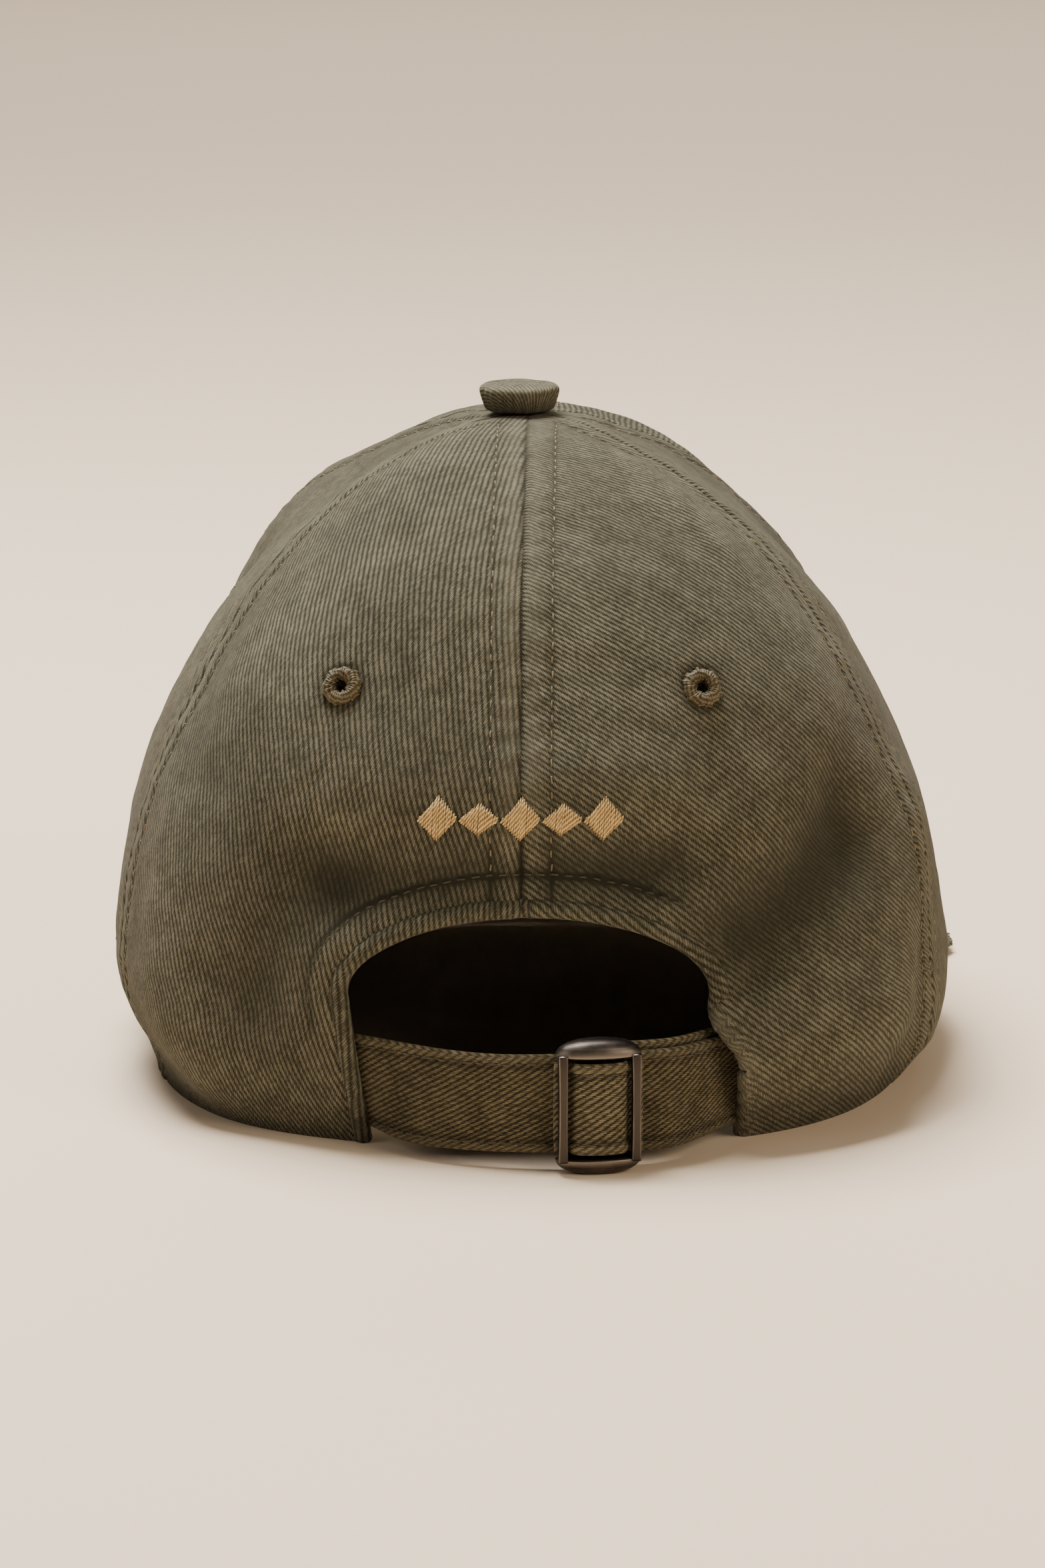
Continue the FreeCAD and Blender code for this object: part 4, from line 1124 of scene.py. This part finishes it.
def covered_button():
    """Low covered button: gathered cloth tapering in to the foot, an edge, a slightly domed top."""
    low, high = (np.array(corner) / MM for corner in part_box("button_cover"))
    centre = (low + high) / 2.0
    radius, height = (high[0] - low[0]) / 2.0, high[2] - low[2]
    section = np.array(((0.0, 1.0), (0.30, 0.985), (0.62, 0.95), (0.84, 0.90), (0.95, 0.845), (0.995, 0.75),
                        (0.99, 0.62), (0.955, 0.42), (0.90, 0.18), (0.84, -0.04), (0.70, -0.12)))
    steps = np.concatenate([[0.0], np.cumsum(np.hypot(*(np.diff(section, axis=0) * (radius, height)).T))])
    girth = np.linspace(0.0, steps[-1], 44)
    out = smoothed(np.interp(girth, steps, section[:, 0]) * radius)
    level = smoothed(np.interp(girth, steps, section[:, 1]) * height)
    around = np.linspace(0.0, TURN, 144, endpoint=False)
    direction = np.stack([np.cos(around), np.sin(around), 0.0 * around], -1)
    side = smooth_step((girth - radius * 0.9) / 2.0)[:, None]
    gather = 0.16 * np.sin(around * 23.0 + 1.6 * np.sin(around * 3.0))[None, :] * side
    lump = 0.14 * waves(direction * radius, 7.0, 17)[None, :] * smooth_step(girth / 6.0)[:, None]
    point = direction[None] * (out[:, None] + gather + lump)[..., None]
    point[..., 2] = level[:, None] + 0.10 * waves(point, 6.0, 19)
    point += np.array([centre[0], centre[1], low[2]])
    count = len(around)
    faces = [face[::-1] for face in ring_faces(len(girth) - 1, count)]
    faces = [[corner + 1 for corner in face] for face in faces]
    faces += [[0, 1 + c, 1 + (c + 1) % count] for c in range(count)]
    faces.append([(len(girth) - 2) * count + 1 + c for c in range(count)][::-1])
    uv = direction[None, :, :2] * girth[:, None, None]
    # Paler on the rubbed edge of the top; painted shade down the side as it tapers in to the foot.
    wear_and_shade = (0.7 * hump(girth, 8.0, 1.2) - 0.6 * smooth_step((girth - 10.0) / 3.0))[:, None]
    wear_and_shade = wear_and_shade + 0.0 * gather
    point, uv, wear_and_shade = (np.concatenate([part[0, :1], part[1:].reshape((-1,) + part.shape[2:])])
                       for part in (point, uv, wear_and_shade))
    piece = new_object("covered_button", point, faces, uv, wear_and_shade)
    return place(piece, "crown", button_twill, ["button_cover"])


covered_button()


# ---- visor ----

VISOR_HALF_WIDTH, VISOR_WIDEST, VISOR_TIP = 97.0, 72.0, 168.0
VISOR_TIP_LEVEL, VISOR_SIDE_LEVEL, VISOR_ROUNDNESS = 25.0, 0.6, 2.15
VISOR_THICKNESS, VISOR_MIDDLE = 3.6, 1.85
VISOR_STITCH_ROWS = (5.0, 11.5, 18.0, 24.5, 31.0, 37.5, 44.0)


def visor_point(share, reach):
    """Underside of the visor: share runs from its right corner to its left, reach from the seam out."""
    angle = math.pi * share
    power = 2.0 / VISOR_ROUNDNESS
    x = VISOR_HALF_WIDTH * signed_power(np.cos(angle), power)
    y = VISOR_WIDEST + (VISOR_TIP - VISOR_WIDEST) * np.maximum(np.sin(angle), 0.0) ** power
    drop = (x / VISOR_HALF_WIDTH) ** 2
    outer = np.stack([x, y, VISOR_TIP_LEVEL + (VISOR_SIDE_LEVEL - VISOR_TIP_LEVEL) * drop], -1)
    plan = VISOR_CORNER + (math.pi - 2.0 * VISOR_CORNER) * share
    level = np.maximum(rim_level(plan) - 1.2, VISOR_SIDE_LEVEL)
    inner, _ = crown(plan, row_at_level(plan, level + 2.0), -0.9)
    inner[..., 2] = level
    point = inner + (outer - inner) * reach[..., None]
    point[..., 2] += 4.0 * reach * (1.0 - reach) * np.sin(math.pi * share)
    return point


def visor_outline(count=1600):
    """Outer edge and side edges of the visor, for distances from them."""
    around = visor_point(np.linspace(0.0, 1.0, count), np.ones(count))
    out = np.linspace(0.0, 1.0, count // 6)
    return np.concatenate([visor_point(0.0 * out, out), around, visor_point(0.0 * out + 1.0, out)])


def from_edge(point):
    outline = visor_outline()[:, :2]
    flat = point[..., :2].reshape(-1, 2)
    nearest = [np.min(np.linalg.norm(outline - spot, axis=1)) for spot in flat]
    return np.array(nearest).reshape(point.shape[:-1])


def visor_cover(top):
    """Top or under cover, rounding over the board's edge to the seam between them."""
    even = np.linspace(0.0, 1.0, 150)
    share = even - 0.6 * np.sin(TURN * even) / (TURN)
    reach = 1.0 - (1.0 - np.linspace(0.0, 1.0, 64)) ** 1.5
    if top:
        share = share[::-1]
    share, reach = np.meshgrid(share, reach)
    point = visor_point(share, reach)
    distance = from_edge(point)
    rounding = np.sqrt(np.clip(1.0 - np.clip(1.0 - distance / 3.2, 0.0, 1.0) ** 2, 0.0, 1.0))
    surface = VISOR_THICKNESS if top else 0.0
    height = VISOR_MIDDLE + (surface - VISOR_MIDDLE) * (0.08 + 0.92 * rounding)
    quilt = sum(hump(distance, row, 0.9) for row in VISOR_STITCH_ROWS)
    sign = 1.0 if top else -1.0
    height += sign * (0.10 * waves(point, 22.0, 51) - 0.28 * quilt)
    point[..., 2] += height
    uv = point[..., :2] * (sign, 1.0)
    # Paler along the worn outer edge; painted shade in the quilting's stitch grooves.
    wear_and_shade = 0.8 * hump(distance, 0.0, 1.6) - 0.6 * quilt
    name = "visor_top_cover" if top else "visor_under_cover"
    piece = sheet_mesh(name + "_cloth", point, 0.75, uv, None, wear_and_shade)
    place(piece, "crown", visor_twill, [name])
    rows = []
    normal = grid_normals(point)[0]
    for index, wanted in enumerate(VISOR_STITCH_ROWS):
        path, facing = [], []
        for column in range(point.shape[1]):
            line = distance[:, column]
            crossing = np.where((line[:-1] >= wanted) & (line[1:] < wanted))[0]
            if len(crossing) == 0:
                continue
            at = crossing[-1]
            part = (line[at] - wanted) / max(line[at] - line[at + 1], 1e-6)
            path.append(point[at, column] * (1.0 - part) + point[at + 1, column] * part)
            facing.append(normal[at, column])
        if len(path) > 8:
            rows.extend(stitch_row(path, facing, 2.8, 0.9, 0.12, seed=index))
    return rows


sew("visor_topstitching", visor_cover(True) + visor_cover(False), 0.22, seam_thread)


# ---- strap, tab and the strap's loop over the bar ----

STRAP_WIDTH, STRAP_THICKNESS, STRAP_LEVEL = 20.0, 1.4, 13.9
STRAP_CENTRE, STRAP_RADIUS = (7.0, -48.5), 59.5
BOW_STEP, HIDDEN_DEPTH = 8.0, 2.5
BUCKLE_ANGLE = math.radians(8.4)


def rear_face(x, level):
    scale = 1.0 - (1.0 - RIM_SCALE) * ((WIDEST_LEVEL - min(level, WIDEST_LEVEL)) / WIDEST_LEVEL) ** 2
    reach = abs(x) / (HALF_WIDTH * scale)
    return -REAR_LENGTH * scale * (1.0 - reach ** REAR_SQUARENESS) ** (1.0 / REAR_SQUARENESS)


def opening_edge(level, side):
    foot = OPENING_RIGHT_FOOT if side > 0.0 else OPENING_LEFT_FOOT
    spring = OPENING_CENTRE + side * OPENING_HALF_WIDTH
    return foot + (spring - foot) * level / OPENING_SPRING


def hidden_end(depth, level, side, steps):
    edge = opening_edge(level, side)
    crossing = edge + side * 0.4
    poles = [(crossing, rear_face(crossing, level) + HIDDEN_DEPTH + 1.2 + depth * 1.3, level)]
    for step in steps:
        x = edge + side * step
        poles.append((x, rear_face(x, level) + HIDDEN_DEPTH + 0.3 + depth * 1.15, level))
    return [np.array(pole) for pole in poles]


def band_poles(depth, level, bow, steps, left):
    """Poles of the strap's line at one level: a bow, and ends that pass behind the crown's edge."""
    radius = (STRAP_RADIUS - depth) * 3.0 / (2.0 + math.cos(math.radians(BOW_STEP)))
    angles = np.radians(np.arange(bow[0], bow[1] + 0.1, BOW_STEP))
    middle = [np.array((STRAP_CENTRE[0] + radius * math.sin(turn),
                        STRAP_CENTRE[1] - radius * math.cos(turn), level)) for turn in angles]
    right = hidden_end(depth, level, 1.0, steps)
    line = middle + [(middle[-1] + right[0]) / 2.0] + right
    if left:
        end = hidden_end(depth, level, -1.0, steps)
        line = end[::-1] + [(middle[0] + end[0]) / 2.0] + line
    return np.array(line)


def cubic_spline(poles, count):
    """Points of the clamped uniform cubic B-spline through a list of poles."""
    size = len(poles)
    knots = np.concatenate([[0.0] * 3, np.arange(size - 2), [size - 3.0] * 3])
    at = np.linspace(0.0, size - 3.0 - 1e-9, count)
    basis = [((at >= knots[k]) & (at < knots[k + 1])).astype(float) for k in range(len(knots) - 1)]
    for degree in range(1, 4):
        raised = []
        for k in range(len(knots) - 1 - degree):
            term = np.zeros(count)
            if knots[k + degree] > knots[k]:
                term += (at - knots[k]) / (knots[k + degree] - knots[k]) * basis[k]
            if knots[k + degree + 1] > knots[k + 1]:
                term += (knots[k + degree + 1] - at) / (knots[k + degree + 1] - knots[k + 1]) * basis[k + 1]
            raised.append(term)
        basis = raised
    return np.stack(basis, -1) @ poles


def band_grid(depth, centre, width, bow, steps, left, spacing=0.8):
    levels = np.linspace(centre - width / 2.0, centre + width / 2.0, 27)
    lines = []
    for level in levels:
        dense = cubic_spline(band_poles(depth, level, bow, steps, left), 900)
        lines.append(even_path(dense, dense, spacing)[0])
    columns = min(len(line) for line in lines)
    grid = [line[np.linspace(0, len(line) - 1, columns).astype(int)] for line in lines]
    return np.array(grid), levels - centre


def band_cloth(name, point, offset, width, thickness, material, nodes, body, puff, hem=1.9, phase=0.0):
    """Folded strap cloth: a puffed fold along each edge, a stitched groove, and a flat middle."""
    normal = grid_normals(point)[0]
    inward = np.abs(offset)[:, None] - (width / 2.0 - hem)
    groove = hump(inward, 0.0, 0.5)
    fold = smooth_step(inward / 0.8)
    across = row_lengths(point)
    crumple = 0.07 * np.sin(across * TURN / 2.9 + phase) * hump(inward, 0.0, 0.9)
    height = puff * fold - 0.30 * groove + crumple + 0.06 * waves(point, 9.0, 61)
    edge = smooth_step((np.abs(offset)[:, None] - width / 2.0 + 0.9) / 0.9)
    height = height - 0.30 * edge ** 2
    wavy = 0.25 * waves(point, 38.0, 63)
    shaped = point + normal * height[..., None]
    shaped[..., 2] += wavy
    uv = np.stack([-(offset[:, None] + 0.0 * across), across], -1)
    # Paler on the puffed folds and the edges from wear; painted shade in the stitched grooves.
    wear_and_shade = 0.8 * fold * (1.0 - edge) + 0.5 * edge - 0.9 * groove + 0.0 * across
    piece = sheet_mesh(name, shaped, thickness, uv, None, wear_and_shade)
    place(piece, body, material, nodes)
    rows = []
    new_normal = grid_normals(shaped)[0]
    for side in (-1.0, 1.0):
        index = int(np.argmin(np.abs(offset - side * (width / 2.0 - hem))))
        rows.extend(stitch_row(shaped[index], new_normal[index], 2.0, 0.75, 0.10, seed=int(width + side)))
    return piece, rows


strap_grid, strap_offset = band_grid(0.0, STRAP_LEVEL, STRAP_WIDTH, (-31.6, 24.4), (6.0, 12.0, 18.0), True)
_, strap_rows = band_cloth("closure_strap_cloth", strap_grid, strap_offset, STRAP_WIDTH, STRAP_THICKNESS,
                           strap_twill, ["closure_strap"], "crown", puff=0.14)
sew("strap_stitching", strap_rows, INNER_THREAD, dark_thread)

TAB_WIDTH, TAB_THICKNESS, TAB_DEPTH, TAB_LEVEL = 18.0, 1.1, 1.95, STRAP_LEVEL + 2.6
tab_grid, tab_offset = band_grid(TAB_DEPTH, TAB_LEVEL, TAB_WIDTH, (0.4, 24.4), (3.5, 6.5), False)
tab, tab_rows = band_cloth("buckle_tab_cloth", tab_grid[:, 3:], tab_offset, TAB_WIDTH, TAB_THICKNESS,
                           strap_twill, ["buckle_tab"], None, puff=0.1)
tab_stitching = sew("tab_stitching", tab_rows, INNER_THREAD, dark_thread, None)
for piece in (tab, tab_stitching):
    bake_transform(piece)


def buckle_place(local):
    """From the buckle's own frame (along the strap, outwards, up from its middle) to the model's."""
    local = np.asarray(local, float)
    along, out, up = local[..., 0], local[..., 1], local[..., 2]
    x, y = along, -(STRAP_RADIUS + out)
    turned_x = x * math.cos(BUCKLE_ANGLE) - y * math.sin(BUCKLE_ANGLE)
    turned_y = x * math.sin(BUCKLE_ANGLE) + y * math.cos(BUCKLE_ANGLE)
    return np.stack([STRAP_CENTRE[0] + turned_x, STRAP_CENTRE[1] + turned_y, STRAP_LEVEL + up], -1)


LOOP_LINE = ((-8.6, 1.5), (-7.0, 1.5), (-6.0, 1.75), (-5.7, 2.9), (-4.9, 4.1), (-2.4, 4.75), (0.0, 4.85),
             (2.4, 4.75), (4.9, 4.1), (5.7, 2.9), (6.0, 1.75), (7.0, 1.5), (8.6, 1.5))
LOOP_WIDTH = 18.4


def strap_loop():
    """The strap's stretch over the bar, seen in the buckle's window."""
    line = np.array([(along, out, 0.0) for along, out in LOOP_LINE])
    dense = cubic_spline(line, 400)
    even = even_path(dense, dense, 0.45)[0]
    offset = LOOP_WIDTH * np.linspace(-0.5, 0.5, 29)
    local = np.stack(np.broadcast_arrays(even[None, :, 0], even[None, :, 1], offset[:, None]), -1)
    _, rows = band_cloth("strap_loop_cloth", buckle_place(local), offset, LOOP_WIDTH, 1.0, loop_twill,
                         ["strap_loop"], "buckle", puff=0.35, hem=2.2, phase=1.0)
    sew("loop_stitching", rows, INNER_THREAD, dark_thread, "buckle")


strap_loop()


# ---- buckle ----

CAP_HALF_WIDTH, CAP_HALF_DEPTH, CAP_CENTRE = 8.75, 3.65, 1.25
WINDOW_HALF, CAP_RISE, CAP_SKIRT = 10.45, 3.35, 0.75
RAIL_CENTRE, RAIL_HALF_WIDTH, RAIL_OUT, RAIL_HALF_DEPTH = 7.45, 1.0, 3.3, 1.25


def closed_grid(name, point, wear_and_shade):
    """Mesh of a grid whose rows close round; the first and last row close to faces."""
    rows, columns = point.shape[:2]
    faces = ring_faces(rows, columns)
    faces.append([c for c in range(columns)][::-1])
    faces.append([(rows - 1) * columns + c for c in range(columns)])
    uv = np.zeros((rows * columns, 2))
    return new_object(name, point.reshape(-1, 3), faces, uv, wear_and_shade.reshape(-1))


def buckle_cap(direction):
    """Smooth lens-shaped cap: a dome away from the window and a low skirt towards it."""
    tilt = np.linspace(-89.0, 89.0, 47)
    around = np.linspace(0.0, 360.0, 96, endpoint=False)
    tilt, around = np.meshgrid(np.radians(tilt), np.radians(around), indexing="ij")
    flat = np.where(tilt < 0.0, 0.35, 0.80)
    scale = np.cos(tilt) ** flat
    rise = np.where(tilt < 0.0, -CAP_SKIRT * np.abs(np.sin(tilt)) ** 1.6, CAP_RISE * np.sin(tilt))
    along = CAP_HALF_WIDTH * signed_power(np.cos(around), 0.94) * scale
    out = CAP_CENTRE + CAP_HALF_DEPTH * signed_power(np.sin(around), 0.94) * scale
    up = direction * (WINDOW_HALF - 0.45 + CAP_SKIRT + rise)
    local = np.stack([along, out, up], -1)
    if direction < 0.0:
        local = local[:, ::-1]
    wear_and_shade = hump(tilt, 0.0, 0.45) * 0.9 + 0.25 * (tilt > 0.5)
    name = "buckle_upper_cap" if direction > 0.0 else "buckle_lower_cap"
    return closed_grid(name, buckle_place(local), wear_and_shade)


def buckle_rail(side):
    """Flat rail with rounded corners, slightly waisted between the caps."""
    up = np.linspace(-WINDOW_HALF - 0.6, WINDOW_HALF + 0.6, 61)
    turn = np.linspace(0.0, TURN, 40, endpoint=False)
    up, turn = np.meshgrid(up, turn, indexing="ij")
    waist = 1.0 - 0.10 * (1.0 - (up / WINDOW_HALF) ** 2)
    along = side * RAIL_CENTRE + RAIL_HALF_WIDTH * waist * signed_power(np.cos(turn), 0.38)
    out = RAIL_OUT + RAIL_HALF_DEPTH * signed_power(np.sin(turn), 0.38) - 0.35 * (up / WINDOW_HALF) ** 4
    corner = np.abs(np.sin(2.0 * turn)) ** 3
    local = np.stack([along, out, up], -1)
    return closed_grid("buckle_rail_" + ("right" if side > 0.0 else "left"), buckle_place(local), corner)


buckle_parts = [buckle_cap(1.0), buckle_cap(-1.0), buckle_rail(-1.0), buckle_rail(1.0)]
for piece in buckle_parts:
    place(piece, "buckle", gunmetal)
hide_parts("buckle_frame")


# ---- CAD parts that stay ----

for node_name, node_material in (("buckle_bar", gunmetal), ("button_shell", pressed_metal),
                                 ("button_rivet", pressed_metal), ("button_washer", pressed_metal),
                                 ("visor_board", board_plastic())):
    node_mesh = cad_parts[node_name].data
    node_mesh.materials.clear()
    node_mesh.materials.append(node_material)


# ---- camera, light and floor ----

# Each window or lamp is a rectangle: its place, what it points at, watts, size and tint.
LIGHTS = {
    "key_window": ((-0.28, 0.30, 1.42), (0.0, 0.0, 0.06), 62.0, (0.8, 0.7), (1.0, 0.97, 0.93)),
    "left_window": ((-1.0, -0.7, 0.7), (0.0, 0.0, 0.06), 3.5, (0.8, 0.7), (1.0, 0.95, 0.88)),
    "backdrop_light": ((0.0, 2.6, 1.7), (0.0, 2.7, 0.0), 46.0, (2.6, 1.2), (1.0, 0.93, 0.86)),
    "right_fill": ((0.95, -0.85, 0.7), (0.0, 0.0, 0.05), 11.0, (0.8, 0.7), (1.0, 0.85, 0.66)),
}
FLOOR_HALF = 3.0 / MM
CAMERA_TARGET, CAMERA_DISTANCE = Vector((-1.3, 0.0, 56.1)), 1231.0
CAMERA_ELEVATION, CAMERA_YAW = math.radians(12.5), math.radians(1.0)
LENS, SENSOR = 129.3, 36.0


def add_light(name, location, target, energy, size, tint):
    data = bpy.data.lights.new(name, "AREA")
    data.energy = energy
    data.color = tint
    data.shape = "RECTANGLE"
    data.size, data.size_y = size
    lamp = bpy.data.objects.new(name, data)
    lamp.location = Vector(location)
    lamp.rotation_euler = (Vector(target) - Vector(location)).to_track_quat("-Z", "Y").to_euler()
    bpy.context.scene.collection.objects.link(lamp)


def stage():
    corners = [(x * FLOOR_HALF, y * FLOOR_HALF, 0.0) for x, y in ((-1, -1), (1, -1), (1, 1), (-1, 1))]
    floor = new_object("floor", corners, [[0, 1, 2, 3]], smooth=False)
    graph = Graph("floor_paint")
    floor.data.materials.append(graph.surface(base_color=(0.78, 0.63, 0.47), roughness=0.75))
    world = bpy.data.worlds.new("studio")
    bpy.context.scene.world = world
    world.use_nodes = True
    background = world.node_tree.nodes["Background"]
    background.inputs["Color"].default_value = (0.92, 0.81, 0.70, 1.0)
    background.inputs["Strength"].default_value = 0.115
    for name, light in LIGHTS.items():
        add_light(name, *light)


def camera():
    level = math.cos(CAMERA_ELEVATION)
    forward = Vector((-math.sin(CAMERA_YAW) * level, math.cos(CAMERA_YAW) * level,
                      -math.sin(CAMERA_ELEVATION)))
    data = bpy.data.cameras.new("camera")
    data.sensor_width = SENSOR
    data.lens = LENS
    data.clip_start = 0.05
    eye = bpy.data.objects.new("camera", data)
    eye.location = (CAMERA_TARGET - forward * CAMERA_DISTANCE) * MM
    eye.rotation_euler = forward.to_track_quat("-Z", "Y").to_euler()
    bpy.context.scene.collection.objects.link(eye)
    bpy.context.scene.camera = eye


stage()
camera()
